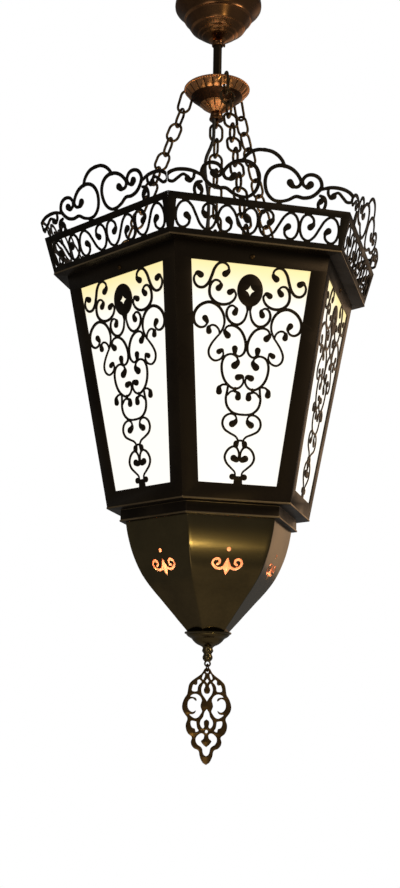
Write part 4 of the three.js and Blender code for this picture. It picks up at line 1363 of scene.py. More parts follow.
@dataclass
class CeilingFittings:
    """Ceiling plate, hook, link and rod eye, which the canopy hides, and the canopy itself.

    Args:
        canopy_top: Height of the canopy's rim.
        wall: The canopy's thickness, of which mouth_share is taken in height outside the radius mouth.
        clearance: Inner radius of canopy and collar, which slide on the rod.
        rod: The rod's radius, with bore the radius of its bore and rod_span its two heights.
        screw_z: Height of the set screw.
        shell: Radius and depth of the canopy's outside.
        highlight_rings: Radii between which a step of the canopy gets a painted highlight.
        collar: Profile of the collar, and screw that of the set screw.
    """

    canopy_top: float = -5.0
    wall: float = 1.4
    clearance: float = 6.7
    rod: float = 6.2
    bore: float = 4.0
    rod_span: Point = (-189.5, -56.0)
    screw_z: float = -78.5
    mouth: float = 50.0
    mouth_share: float = 0.3
    shell: tuple[Point, ...] = (
        (59.5, 0), (61.4, 6), (62.4, 12), (62.5, 14.5), (62.2, 17), (61, 19), (58.4, 21.4), (53.4, 27.6),
        (50.2, 32), (49.2, 34.2), (48.9, 35.2), (47.4, 35.8), (46.4, 37.4), (43.4, 42.4), (40.4, 47.2),
        (39, 49.4), (38.2, 50.2), (36.8, 50.8), (36, 51.8), (32.6, 54.4), (29.4, 57), (28, 57.6),
        (27.2, 58.4), (23.6, 61), (22.6, 61.6), (22, 62.2), (17, 65), (13, 67.4), (9.6, 69.6), (7, 70.2),
    )

    highlight_rings: tuple[Point, ...] = ((46.6, 49.3), (35.8, 38.6), (27.0, 29.2), (21.4, 23.4), (7.0, 13.0))
    collar: tuple[Point, ...] = (
        (6.7, -81.5), (7.5, -81.5), (8.4, -80.3), (8.4, -77.6), (7.6, -77), (8.2, -75.5), (6.7, -75.5),
    )
    screw: tuple[Point, ...] = ((0.0, 6.5), (1.55, 6.5), (1.55, 9.3), (2.4, 9.3), (2.2, 11.0), (0.0, 11.4))

    def build(self, shop: Shop) -> None:
        """Makes the canopy, its collar and screw and the rod, and dresses the fittings."""
        bronze = shop.finishes.canopy_bronze
        for node in ("ceiling_plate", "ceiling_hook", "suspension_link", "rod_eye"):
            shop.keep(node, shop.finishes.steel)
        outer = [(r, self.canopy_top - d) for r, d in self.shell]
        thin, full = self.mouth_share * self.wall, self.wall
        inner = [(max(r - full, self.clearance), z + (thin if r > self.mouth else full)) for r, z in outer]
        inner[0] = (outer[0][0] - self.wall, outer[0][1])
        inner[-1] = (self.clearance, outer[-1][1] + self.wall)
        canopy = Maker.turned("canopy_shell", outer + inner[::-1], 22.0)
        shop.fit(canopy, "canopy", bronze, "bronze", "canopy")
        # Painted highlights on rings of the canopy's steps.
        shop.patch(canopy, shop.finishes.step_highlight_copper, self._on_highlight_ring)
        collar = Maker.turned("canopy_collar_ring", Maker.softened(self.collar, 0.5))
        shop.fit(collar, "canopy", bronze, "bronze", "canopy_collar")
        vertices, faces = Maker.revolution(Maker.softened(self.screw, 0.25, 2), 24)
        screw = Maker.piece("canopy_set_screw", [(z, y, self.screw_z + x) for x, y, z in vertices], faces)
        shop.fit(screw, "canopy", shop.finishes.drop_brass, "brass", "canopy_screw")
        low, high = self.rod_span
        tube = [(self.bore, low), (self.rod, low), (self.rod, high), (self.bore, high)]
        rod = Maker.turned("rod_tube", Maker.softened(tube, 0.4))
        shop.fit(rod, "lantern", shop.finishes.bronze, "bronze", "down_rod")

    def _on_highlight_ring(self, middle: Vector, normal: Vector) -> bool:
        """Tells whether a face lies on a ring of the canopy's steps that gets a painted highlight."""
        return normal.z < 0 and any(a < middle.xy.length < b for a, b in self.highlight_rings)


@dataclass
class FlutedDish:
    """The copper dish that spreads the chains: petals round its wall and beads on its rim.

    Args:
        rim_z: Height of the rim.
        petals: Petals round the upper tier. The lower one has half as many.
        facets: Points across a petal.
        tier_depth: Depth below the rim where the lower tier starts.
        wall: Thickness.
        neck: Radius of the hole in the middle.
        contour: Radius, depth and swell of the petals.
        lip: Radius and depth of the rim's roll.
        petal_shape: Power that the petals are rounded with, and share of the swell that stays inside.
        lip_wall: What the wall takes up in height above thick_depth, where it is nearly upright.
        shade_depths: Depths where the painted shade in the grooves starts, where the darker band starts and
            where it ends.
        grooves: Height of the petals' wave under which the groove gets painted shade, in upper and lower
            tier.
        grooves: Height of the petals' wave under which the metal is dark, in upper and lower tier.
        hole: Radius and half length of the drill for the first links.
        hole_place: Where the drill goes through the wall, and hole_lean its slope in degrees.
        beads: Beads round the rim, with bead their radius and bead_place their ring's radius and depth.
        crease: Edges of the dish that bend by more degrees than this stay sharp.
        nut_span: Heights of the nut's foot and top.
        nut_eye: Radius, wire and drop of the eye under the nut.
    """

    rim_z: float = -147.2
    petals: int = 22
    facets: int = 14
    tier_depth: float = 22.0
    wall: float = 1.2
    neck: float = 6.6
    petal_shape: Point = (0.7, 0.55)
    lip_wall: float = 0.4
    thick_depth: float = 12.0
    shade_depths: Spot = (3.4, 13.6, 24.8)
    grooves: Point = (0.3, 0.24)
    crease: float = 50.0
    contour: tuple[tuple[float, float, float], ...] = (
        (45.6, 2.6, 0), (44.9, 4, 0.3), (43.8, 5.6, 0.9), (42.3, 7.6, 1.8), (40.6, 9.6, 1.8),
        (38.4, 11.6, 1.3), (36.6, 13.3, 0.4), (35.6, 14.2, 0), (34.9, 14.9, 0), (31.8, 17.5, 0),
        (28.6, 20.3, 0), (25.4, 23.1, 0), (23.6, 24.6, 0.1), (22.9, 25.5, 0.6), (21, 27.3, 0.9),
        (18.2, 29.5, 0.9), (15.2, 31.7, 0.6), (12.4, 33.6, 0.2), (10.2, 35.2, 0), (8.6, 36.6, 0),
        (6.6, 37.2, 0),
    )
    lip: tuple[Point, ...] = ((46.4, 1.2), (45.8, 0.1), (44.6, 0.1), (44.0, 1.2))
    hole: Point = (2.9, 9.0)
    hole_place: Point = (46.5, -161.0)
    hole_lean: float = 15.0
    beads: int = 76
    bead: float = 1.75
    bead_place: Point = (45.5, 1.9)
    nut_span: Point = (-195.8, -184.8)
    nut_eye: Spot = (5.5, 1.9, 5.0)

    def build(self, shop: Shop) -> None:
        """Makes the dish, its beaded rim and the nut under it."""
        dish = Maker.finished("dish_petals", Maker.cut(self._shell(), self._drills()), self.crease)
        shop.fit(dish, "lantern", shop.finishes.copper, "copper", "dish")
        # Painted shade in the grooves between petals, and a darker band under the upper petals.
        shop.patch(dish, shop.finishes.groove_shade_copper, self._in_groove_shade_or_band)
        self._beads(shop)
        self._nut(shop)

    def _wave(self, angle: float, upper: bool) -> float:
        """Where on its petal an angle lies: 0 in the groove beside it and 1 on its middle."""
        tier = self.petals if upper else self.petals // 2
        return abs(math.sin(angle * tier / 2 + (0 if upper else math.pi / 2)))

    def _shell(self) -> bpy.types.Object:
        """The petalled wall."""
        around = self.petals * self.facets
        angles = [math.tau * k / around for k in range(around)]

        def ring(radius: float, depth: float, swell: float = 0.0) -> list[Spot]:
            """A ring of the wall, pushed out where its petals are."""
            found = []
            power, inside = self.petal_shape
            for angle in angles:
                far = radius + swell * (self._wave(angle, depth < self.tier_depth) ** power - inside)
                found.append((far * math.cos(angle), far * math.sin(angle), self.rim_z - depth))
            return found

        rings = [ring(*row) for row in self.contour[::-1]] + [ring(r, d) for r, d in self.lip]
        for radius, depth, _ in self.contour:
            wall = self.wall if depth > self.thick_depth else self.lip_wall
            rings.append(ring(max(radius - self.wall, self.neck), depth - wall))
        vertices = [p for ring in rings for p in ring]
        faces = Maker.quads(Maker.looped(len(rings)), around)
        return Maker.piece("dish_petals", vertices, faces, self.crease)

    def _drills(self) -> bpy.types.Object:
        """What is drilled out of the wall for the three first links."""
        radius, half = self.hole
        r, z = self.hole_place
        lean = math.radians(self.hole_lean)
        drill, sides = Maker.revolution([(0, -half), (radius, -half), (radius, half), (0, half)], 20)
        spot = Vector((0, -r + half * math.cos(lean), z - half * math.sin(lean)))
        tilt = Matrix.Rotation(-lean, 4, "X")
        drills = []
        for where in Where:
            drills.append(([rotation(where.value) @ (spot + tilt @ Vector(p)) for p in drill], sides))
        return Maker.piece("link_holes", *Maker.joined(drills))

    def _in_groove_shade_or_band(self, middle: Vector, normal: Vector) -> bool:
        """Tells whether a face gets the dark copper: painted shade in the grooves between petals, and the
        darker band under them.
        """
        depth = self.rim_z - middle.z
        start, band, end = self.shade_depths
        if normal.z > 0.2 or depth < start:
            return False
        upper = depth < band
        wave = self._wave(math.atan2(middle.y, middle.x), upper)
        return band <= depth < end or wave < self.grooves[0 if upper else 1]

    def _beads(self, shop: Shop) -> None:
        """A string of half-sunk beads round the rim."""
        ball = bmesh.new()
        bmesh.ops.create_icosphere(ball, subdivisions=2, radius=self.bead)
        corners = [tuple(v.co) for v in ball.verts]
        sides = [[v.index for v in f.verts] for f in ball.faces]
        ball.free()
        radius, depth = self.bead_place
        lumps = []
        for k in range(self.beads):
            angle = math.tau * k / self.beads
            centre = (radius * math.cos(angle), radius * math.sin(angle), self.rim_z - depth)
            lumps.append(([tuple(a + b for a, b in zip(p, centre)) for p in corners], sides))
        beads = Maker.piece("dish_rim_beads", *Maker.joined(lumps))
        shop.fit(beads, "lantern", shop.finishes.copper, "copper")

    def _nut(self, shop: Shop) -> None:
        """The turned nut under the dish, with the eye that the middle chain hangs from."""
        low, high = self.nut_span
        profile = [
            (0, low), (9.4, low), (10.4, low + 1.4), (10.2, low + 3.6), (8.8, low + 5.0), (9.2, low + 7.0),
            (8.4, high), (6.6, high), (6.6, high - 4.6), (0, high - 4.6),
        ]
        body = Maker.revolution(Maker.softened(profile, 0.6), 64)
        radius, wire, drop = self.nut_eye
        eye = Maker.link(radius, radius, wire, AWAY, UP, (0, 0, low - drop))
        nut = Maker.piece("dish_finial_nut", *Maker.joined([body, eye]))
        shop.fit(nut, "lantern", shop.finishes.canopy_bronze, "bronze", "dish_nut")


@dataclass
class Chains:
    """Three chains from the dish to the spider and one down the middle, all of oval links.

    Args:
        wire: Radius of the links' wire.
        half_width: Half of a link's width, to the wire's middle line.
        dish_link_half: Half of the length of the first links, which lean by dish_link_tilt degrees.
        dish_link_place: Radius and height of their middles.
        spread: Radius that the three chains' feet lie on.
        foot_z: Height where all four chains end.
        eye_z: Height of the middles of the bolts' eyes, which have the radius eye.
        shank: Profile of an eye bolt below its eye.
        nut_eye_foot: Height where the middle chain starts.
        links: Links in each of the three chains, and middle_links in the middle one.
        hang: How far a run's end links reach past its ends.
        bite: How far a link reaches into the next.
    """

    wire: float = 1.9
    half_width: float = 9.0
    dish_link_half: float = 17.0
    dish_link_tilt: float = 15.0
    dish_link_place: Point = (46.5, -161.0)
    spread: float = 150.0
    foot_z: float = -429.4
    eye_z: float = -434.9
    eye: float = 5.5
    shank: tuple[Point, ...] = (
        (0, -447.7), (1.9, -447.7), (1.9, -444.6), (5.9, -444.4), (5.9, -442.6), (3.2, -441.4),
        (2.2, -440.2), (0, -440),
    )
    nut_eye_foot: float = -206.3
    links: int = 12
    middle_links: int = 10
    hang: float = 4.5
    bite: float = 3.7

    def build(self, shop: Shop) -> None:
        """Makes the four chains, the links through the dish and the eye bolts."""
        tilt = math.radians(self.dish_link_tilt)
        up = Vector((0, math.sin(tilt), math.cos(tilt)))
        out = Vector((0, -math.cos(tilt), math.sin(tilt)))
        r, z = self.dish_link_place
        centre = Vector((0, -r, z))
        first = Maker.link(self.dish_link_half, self.half_width, self.wire, out, up, centre)
        run = self._run(centre - up * self.dish_link_half, Vector((0, -self.spread, self.foot_z)), self.links)
        bolt = self._eye_bolt()
        for where in Where:
            turn, word = rotation(where.value), where.word
            self._place(shop, f"dish_link_{word}_oval", [first], turn, f"dish_link_{word}")
            self._place(shop, f"chain_{word}_links", run, turn, f"chain_{word}")
            self._place(shop, f"chain_eye_{word}_bolt", [bolt], turn, f"chain_eye_{word}", CREASE)
        middle = self._run(Vector((0, 0, self.nut_eye_foot)), Vector((0, 0, self.foot_z)), self.middle_links)
        self._place(shop, "middle_chain_links", middle, rotation(0), "middle_chain")

    def _run(self, start: Vector, end: Vector, count: int) -> list[Lump]:
        """Links from one wire to another, each a quarter turn from the last."""
        down = (end - start).normalized()
        length = ((end - start).length + 2 * self.hang + (count - 1) * self.bite) / count
        other = ACROSS.cross(-down)
        links = []
        for i in range(count):
            middle = start + down * (length / 2 - self.hang + i * (length - self.bite))
            across = other if i % 2 else ACROSS
            links.append(Maker.link(length / 2, self.half_width, self.wire, across, -down, middle))
        return links

    @staticmethod
    def _place(
        shop: Shop, name: str, lumps: list[Lump], turn: Matrix, node: str, crease: float = 60.0
    ) -> None:
        """Makes one object of a run of links or of a bolt."""
        vertices, faces = Maker.joined(lumps)
        made = Maker.piece(name, [turn @ Vector(p) for p in vertices], faces, crease)
        shop.fit(made, "lantern", shop.finishes.chain_bronze, "dark_bronze", node)

    def _eye_bolt(self) -> Lump:
        """An eye on a round foot, with its shank through the spider."""
        body, sides = Maker.revolution(Maker.softened(self.shank, 0.4), 32)
        shifted = [(x, y - self.spread, z) for x, y, z in body]
        eye = Maker.link(self.eye, self.eye, self.wire, ACROSS, UP, (0, -self.spread, self.eye_z))
        return Maker.joined([(shifted, sides), eye])


@dataclass
class Gallery:
    """Six leaning panels: a frieze of S-scrolls between rails, and open cresting above.

    Args:
        top: Corner radius at the rails' top, with foot the one at their foot.
        height: Height of the rails and the frieze between them, from foot_z.
        thickness: The sheet's thickness, with edge the rounding of its edges.
        rail_top: Height of the upper rail.
        window: Height of the opening under it, with window_half half of its width.
        pitch: Distance between the S-scrolls.
        rise: Height of the cresting above the rails.
        seam: How far the sheet reaches past its foot, so that no light shows there.
        frieze_middle: Depth of the S-scrolls' middles below the rails' top.
        grid: Distance between the stencil's points.
        cresting_fillet: Rounding where bands of the cresting meet.
    """

    top: float = 240.0
    foot: float = 225.1
    height: float = 47.7
    foot_z: float = -447.7
    thickness: float = 1.5
    rail_top: float = 8.5
    window: float = 33.0
    window_half: float = 108.0
    pitch: float = 54.0
    rise: float = 63.6
    seam: float = 0.28
    frieze_middle: float = 25.0
    edge: float = 0.25
    grid: float = 0.4
    cresting_fillet: float = 1.2

    frieze: tuple[Scroll, ...] = (
        Scroll(
            (
                (14.6, -24), (18.4, -20.4), (18.6, -14.8), (14.6, -10.4), (9.6, -9.2), (4.6, -12.2),
                (1.3, -20), (1.6, -30), (6, -38), (13, -40.6), (20.5, -35.5), (27, -25),
            ),
            3.3, (3.8, 0), 1,
        ),
    )
    cresting: tuple[Scroll, ...] = (
        Scroll(((-1, 61.4), (9.5, 60.4), (18, 56.6), (24.5, 50.5), (27.5, 45)), 4.6, (0, 0), 0.9),
        Scroll(
            (
                (27, 2.5), (17, 3.5), (8.5, 10), (4.4, 20), (4.6, 31), (10, 40), (19, 44.8), (29, 45.2),
                (39, 42), (47, 35.5), (51, 28), (47.5, 22.6), (41, 22.4), (36.5, 26.5),
            ),
            4.8, (0, 4.2), 0.8,
        ),
        Scroll(
            (
                (24, 2), (36, 5.5), (46, 10.8), (56, 10), (66, 12.4), (74, 18.5), (78.8, 26.5), (75.5, 35),
                (67, 38.8), (58, 37.2), (53, 31), (55, 25), (60, 23.6), (64, 27),
            ),
            4.7, (0, 4.2), 0.8,
        ),
        Scroll(
            ((78, 22.5), (90, 26.2), (102, 26.8), (113.5, 24.6), (121, 19.5), (124, 12)),
            4.6, (0, 0), 0.8,
        ),
        Scroll(((88, 25), (88.6, 18), (92.5, 14.6), (96, 16.4)), 4, (0, 3.6), 0.8),
        Scroll(
            ((96, 19), (102, 21), (108.5, 16), (114.5, 11.2), (121, 12.4), (122.5, 18.5), (118, 23)),
            4, (0, 0), 0.8,
        ),
        Scroll(((84, -2), (86.2, 6), (84, 13), (78, 15)), 4.2, (0, 0), 0.9),
        Scroll(((77.6, -1), (76.4, 4.4), (79.6, 8.6)), 4.2, (0, 3.4), 0.9),
    )

    def build(self, shop: Shop) -> None:
        """Makes one panel and sets up six of it."""
        mesh = self._panel(LeaningSide(self.top, self.foot, self.height, self.foot_z))
        shop.six(Kind("gallery_sheet", "gallery_panel", mesh, shop.finishes.scroll_bronze, "dark_bronze"))

    def _panel(self, side: LeaningSide) -> bpy.types.Mesh:
        """The pierced sheet, placed on the side that faces -Y."""
        top = self.height + self.rise
        reach = side.half_width(top)
        stencil = Stencil((-reach - 1, -2.0), (reach + 1, top + 2), self.grid)
        low, high = np.array([-reach - 1, -2.0]), np.array([reach + 1, self.height + 3])
        stencil.add(low, high, polygon(upright(reach, -self.seam, reach, self.height)))
        upper = self.height - self.rail_top
        stencil.open(polygon(upright(self.window_half, upper - self.window, self.window_half, upper)))
        for scroll in self.frieze:
            there = list(scroll.moved(0.0, self.height).points)
            turned = 2 * self.height - 2 * self.frieze_middle
            back = [(self.pitch - x, turned - y) for x, y in there][::-1]
            whole = replace(scroll, points=tuple(there + back[1:]), buds=(scroll.buds[0], scroll.buds[0]))
            for shift in (0.0, self.pitch):
                stencil.pair(whole.moved(shift, 0.0))
        for scroll in self.cresting:
            stencil.pair(scroll.moved(0.0, self.height), self.cresting_fillet)
        stencil.keep(polygon(upright(side.half_width(0), -1.0, reach, top + 5)))
        return side.pierced("gallery_sheet", stencil, self.thickness, self.edge)


@dataclass
class Body:
    """Six leaning pierced side panels in front of lit opal glass, with a screw in each.

    Args:
        top: Corner radius at the top, with foot the one at the foot and height between them.
        foot_z: Height of the foot.
        thickness: The sheet's thickness, with edge the rounding of its edges.
        window_top: Depth of the pierced window below the sheet's top, and window_height its height.
        window_top_half: Half of its width at the top, and window_foot_half at the foot.
        glass_top: Depth of the pane below the sheet's top, and foot_gap its height above the foot.
        glass_thickness: The pane's thickness, with glass_edge the rounding of its edges.
        gap: Free play between sheet and pane, with side_gap that between neighbouring panes.
        seam: How far the sheet reaches past top and foot, so that no light shows there.
        screw_drop: Depth of the screw below the sheet's top, with shank its profile.
        medallion: Its depth below the window's top and its two half widths, as for the star in it.
        throat: The piece under the medallion: half width and depth of its upper and lower end.
        block: The piece at the window's foot: half width and height of its lower and upper end.
        scrolls: The bands of the right half, with buds the oval discs beside them.
        grid: Distance between the stencil's points.
    """

    top: float = 206.5
    foot: float = 142.4
    height: float = 313.8
    foot_z: float = -764.5
    thickness: float = 1.5
    window_top: float = 21.5
    window_height: float = 273.5
    window_top_half: float = 79.3
    window_foot_half: float = 51.7
    glass_top: float = 15.5
    glass_thickness: float = 3.0
    gap: float = 0.3
    seam: float = 0.28
    screw_drop: float = 11.5
    foot_gap: float = 0.6
    side_gap: float = 0.3
    edge: float = 0.22
    glass_edge: float = 0.4
    grid: float = 0.4
    shank: tuple[Point, ...] = (
        (0, -3.4), (1.55, -3.4), (1.55, 0.05), (3.4, 0.05), (3.3, 0.7), (2.5, 1.5), (1.2, 1.95), (0, 2.05),
    )

    medallion: tuple[float, float, float] = (32.0, 17.0, 20.5)
    star: tuple[float, float, float] = (32.5, 6.8, 7.8)
    throat: tuple[float, float, float, float] = (5.4, 49.0, 3.0, 57.0)
    block: tuple[float, float, float, float] = (5.8, -1.0, 5.2, 9.6)
    scrolls: tuple[Scroll, ...] = (
        Scroll(
            (
                (34, 14.6), (30, 11), (30.2, 5), (36, 0.8), (42.5, 1.8), (48, 8.5), (51.2, 18), (55, 27.5),
                (61, 33.4), (68, 33.6), (73.2, 28.6), (74, 21.6), (70, 16.6), (65.6, 18.6),
            ),
            3.9, (3.9, 3.8), 0.5,
        ),
        Scroll(
            (
                (41.6, 33), (38.4, 28.6), (41, 24.2), (46.6, 23.4), (51.4, 28), (53.2, 36), (51.4, 44),
                (45, 50.2), (36, 52.6), (27, 50.8), (20.4, 45.4), (18.2, 38.6), (21.6, 34.2), (26.6, 36.6),
            ),
            3.9, (3.7, 3.6), 0.5,
        ),
        Scroll(
            ((1.4, 49), (2.2, 60), (5.6, 70), (12.4, 75.6), (20, 75.2), (26.4, 70), (29, 62), (26.6, 55.2),
             (21.4, 52.8), (16.6, 56.4), (18.2, 61.6)),
            3.6, (0, 3.6), 0.5,
        ),
        Scroll(
            (
                (56.6, 71.4), (53.4, 76.6), (56.4, 81.8), (62.6, 83.2), (68.8, 79.4), (71.4, 71.6),
                (69.2, 62.6), (62.4, 55), (52, 51.2), (41.4, 54.4), (34, 62.4), (31, 72.6), (32, 80.6),
                (35.4, 87.6),
            ),
            4.1, (3.6, 0), 0.5,
        ),
        Scroll(
            ((31.6, 80), (34.6, 87), (40.4, 94.4), (46, 102.4), (49.2, 111), (47.4, 118.4), (41, 122.8),
             (33.6, 120.6), (29.8, 114.6), (31.6, 109.2), (35.8, 111.4)),
            2.9, (0, 3.2), 0.7,
        ),
        Scroll(
            ((36.2, 89.4), (37.8, 84), (42.4, 79.8), (47.4, 79.4), (51, 82.6), (50.4, 87.4)),
            2.8, (0, 3.5), 0.8,
        ),
        Scroll(
            ((25.6, 90.4), (29.6, 85.4), (27.4, 79.8), (19.6, 77.6), (10.6, 81.2), (3.8, 90.4),
             (1.1, 101.6), (3.2, 110.8), (8.8, 115), (14.2, 112.2), (15.2, 105.6)),
            3.6, (3.9, 3.6), 0.5,
        ),
        Scroll(
            ((14.2, 127), (10.2, 122.6), (11.4, 116.8), (18.6, 113), (26.4, 115.6), (30.4, 123),
             (30.6, 133), (27.4, 143.6), (21, 151.6), (12.6, 155.6), (5.2, 153.2), (1.2, 146.4), (3.2, 140),
             (8.8, 141.2)),
            3.3, (4.3, 3.8), 0.6,
        ),
        Scroll(((21.6, 151.6), (28.2, 151.8), (32.4, 155.8), (32.2, 160.8)), 2.8, (0, 3.7), 0.8),
        Scroll(
            ((20.8, 151.6), (21.8, 160), (22.8, 169), (20.4, 178), (13.6, 184.8), (5.6, 187), (-1, 187.2)),
            3.2, (0, 0), 0.85,
        ),
        Scroll(
            ((20.8, 164), (17, 159.6), (11.8, 158.6), (7, 161.4), (7, 166.2)), 2.7, (0, 3.7), 0.8
        ),
        Scroll(((11.4, 154.6), (11, 159.4)), 2.8, (0, 0), 1),
        Scroll(
            ((12.4, 199.6), (8.4, 196.6), (7.4, 191.6), (11, 187.6), (17.6, 187.6), (23.6, 192.4),
             (25.2, 200), (21.8, 206.8), (14.4, 211.2), (6.4, 215.2), (3, 221), (4.6, 229)),
            3, (4, 0), 0.6,
        ),
        Scroll(((-1, 219.4), (3.6, 219.8)), 2.4, (0, 0), 1),
        Scroll(
            ((7.6, 241.8), (3, 243.8), (0.9, 238), (2.4, 231.6), (6.6, 227.2), (12.4, 228.8), (17.2, 233.8),
             (19.4, 241), (16.8, 248), (10.4, 254.2), (5, 259.4), (4, 267)),
            3, (4, 0), 0.6,
        ),
    )
    buds: tuple[tuple[float, float, float, float], ...] = (
        (5.8, 224.4, 3.4, 4.8), (7.8, 265, 3.9, 3.9),
    )

    def build(self, shop: Shop) -> None:
        """Makes a panel, a pane and a screw and sets up six of each."""
        side = LeaningSide(self.top, self.foot, self.height, self.foot_z)
        sheet, glass = self._panel(side), self._pane(side)
        shop.six(
            Kind("side_sheet", "side_panel", sheet, shop.finishes.bronze, "bronze"),
            Kind("opal_pane", "glass_pane", glass, shop.finishes.opal, "opal_glass"),
        )
        screw = self._screw(side)
        shop.six(Kind("panel_screw_head", "panel_screw", screw, shop.finishes.drop_brass, "brass"))

    def _panel(self, side: LeaningSide) -> bpy.types.Mesh:
        """The frame and its scrollwork, cut from one sheet."""
        stencil = Stencil((-self.top / 2 - 2, -2.0), (self.top / 2 + 2, self.height + 2), self.grid)
        low_edge, high_edge = -self.seam, self.height + self.seam
        frame = upright(side.half_width(0), low_edge, side.half_width(self.height), high_edge)
        stencil.add(stencil.low, -stencil.low + np.array([0, self.height]), polygon(frame))
        high = self.height - self.window_top
        low = high - self.window_height
        stencil.open(polygon(upright(self.window_foot_half, low, self.window_top_half, high)))
        for scroll in self.scrolls:
            stencil.pair(scroll.hung(high))
        for x, y, half_width, half_height in self.buds:
            for across in (-x, x):
                stencil.disc((across, high - y), half_width, half_height, 0.8)
        y, half_width, half_height = self.medallion
        stencil.disc((0, high - y), half_width, half_height, 0.5)
        wide, start, narrow, end = self.throat
        throat = polygon(upright(wide, high - start, narrow, high - end))
        stencil.add(np.array([-7.0, high - 60]), np.array([7.0, high - 48]), throat, 1.0)
        wide, start, narrow, end = self.block
        block = polygon(upright(wide, low + start, narrow, low + end))
        stencil.add(np.array([-8.0, low - 1]), np.array([8.0, low + 12]), block, 1.0)
        y, half_width, half_height = self.star
        stencil.open(star((0, high - y), half_width, half_height))
        return side.pierced("side_sheet", stencil, self.thickness, self.edge)

    def _pane(self, side: LeaningSide) -> bpy.types.Mesh:
        """A slab of opal glass with ground edges, mitred to its neighbours."""
        low, high = self.foot_gap, self.height - self.glass_top
        inset = self.thickness + self.gap
        narrow = inset * MITRE + self.side_gap
        low_half, high_half = side.half_width(low) - narrow, side.half_width(high) - narrow
        corners = upright(low_half, low * side.slant, high_half, high * side.slant)
        mesh = Maker.sheet("opal_pane", [np.array(corners)], self.glass_thickness, self.glass_edge)
        for vertex in mesh.vertices:
            if vertex.co.z < -0.1:
                vertex.co.x -= math.copysign(-vertex.co.z * MITRE, vertex.co.x)
        mesh.transform(side.matrix(inset))
        return mesh

    def _screw(self, side: LeaningSide) -> bpy.types.Mesh:
        """A domed, slotted screw in the top rail of a panel."""
        head = Maker.piece("screw_blank", *Maker.revolution(Maker.softened(self.shank, 0.3, 2), 28))
        slot, sides = Maker.revolution([(0, 1.3), (6, 1.3), (6, 4), (0, 4)], 4)
        narrowed = [(x * 0.1 if abs(y) < TINY else x, y * 0.1, z) for x, y, z in slot]
        mesh = Maker.cut(head, Maker.piece("screw_slot", narrowed, sides))
        mesh.transform(Matrix.Scale(1 / MM, 4))
        centre = (self.height - self.screw_drop) * side.slant
        mesh.transform(side.matrix() @ Matrix.Translation((0, centre, 0)))
        return mesh


@dataclass
class Ledges:
    """The soffit ring above the body and the stepped collar below it.

    Args:
        soffit_top: Height of the soffit's top, with soffit_thickness its thickness.
        edge: Corner radius of its outer edge, and soffit_inner of its inner one.
        body_top: Corner radius of the side sheets' top.
        lean: How far the sheets' corners lean in for each millimetre down.
        flange: Depth of the flange that the sheets are screwed to, with flange_wall its thickness.
        behind_sheet: How far the flange lies behind the sheets' outer face.
        top_gap: Gap between the soffit and the sheets' top.
        collar_top: Height of the collar's top, with collar_foot that of its foot.
        collar_edge: Corner radius of its upper ledge, which is ledge_height high.
        collar_wall: Corner radius of its wall, with collar_thickness the wall's thickness.
        step: How far the lower ledge stands out, with shelf_height its height.
        collar_inner: Inner corner radius of the lower ledge.
    """

    soffit_top: float = -448.0
    soffit_thickness: float = 2.4
    edge: float = 225.7
    soffit_inner: float = 196.0
    body_top: float = 206.5
    lean: float = 0.2043
    flange: float = 15.0
    flange_wall: float = 1.7
    behind_sheet: float = 1.8
    top_gap: float = 0.3
    collar_top: float = -764.8
    collar_edge: float = 143.0
    collar_wall: float = 123.7
    collar_foot: float = -783.0
    ledge_height: float = 2.4
    shelf_height: float = 2.2
    step: float = 1.2
    collar_inner: float = 112.0
    collar_thickness: float = 1.8

    def build(self, shop: Shop) -> None:
        """Makes both rings."""
        foot = self.soffit_top - self.soffit_thickness
        behind = self.body_top - self.behind_sheet / APOTHEM - self.top_gap * self.lean
        flange_foot = behind - self.flange * self.lean
        soffit = hexagonal(
            "soffit_shelf",
            [
                (self.edge, foot), (self.edge, self.soffit_top), (self.soffit_inner, self.soffit_top),
                (self.soffit_inner, foot), (behind - self.flange_wall, foot),
                (flange_foot - self.flange_wall, foot - self.flange), (flange_foot, foot - self.flange),
                (behind, foot),
            ],
        )
        shop.fit(soffit, "lantern", shop.finishes.bronze, "bronze", "soffit_ring")
        # Painted highlight on the soffit's edges and top, all but its underside and flange.
        shop.patch(
            soffit,
            shop.finishes.pale_highlight_bronze,
            lambda middle, normal: middle.z > foot - 0.6 and normal.z > -0.9,
        )
        ledge = self.collar_top - self.ledge_height
        shelf = self.collar_foot + self.shelf_height
        wall, out = self.collar_wall, self.collar_wall + self.step
        inside = wall - self.collar_thickness
        collar = hexagonal(
            "base_steps",
            [
                (inside, self.collar_top), (self.collar_edge, self.collar_top), (self.collar_edge, ledge),
                (wall, ledge), (wall, shelf), (out, shelf), (out, self.collar_foot),
                (self.collar_inner, self.collar_foot), (self.collar_inner, shelf), (inside, shelf),
            ],
        )
        shop.fit(collar, "lantern", shop.finishes.bronze, "bronze", "base_collar")
        # Painted highlights along the collar's upper and lower lips.
        shop.patch(
            collar,
            shop.finishes.pale_highlight_bronze,
            lambda middle, normal: abs(normal.z) < 0.9 and (middle.z > ledge - 0.4 or middle.z < shelf + 0.4),
        )


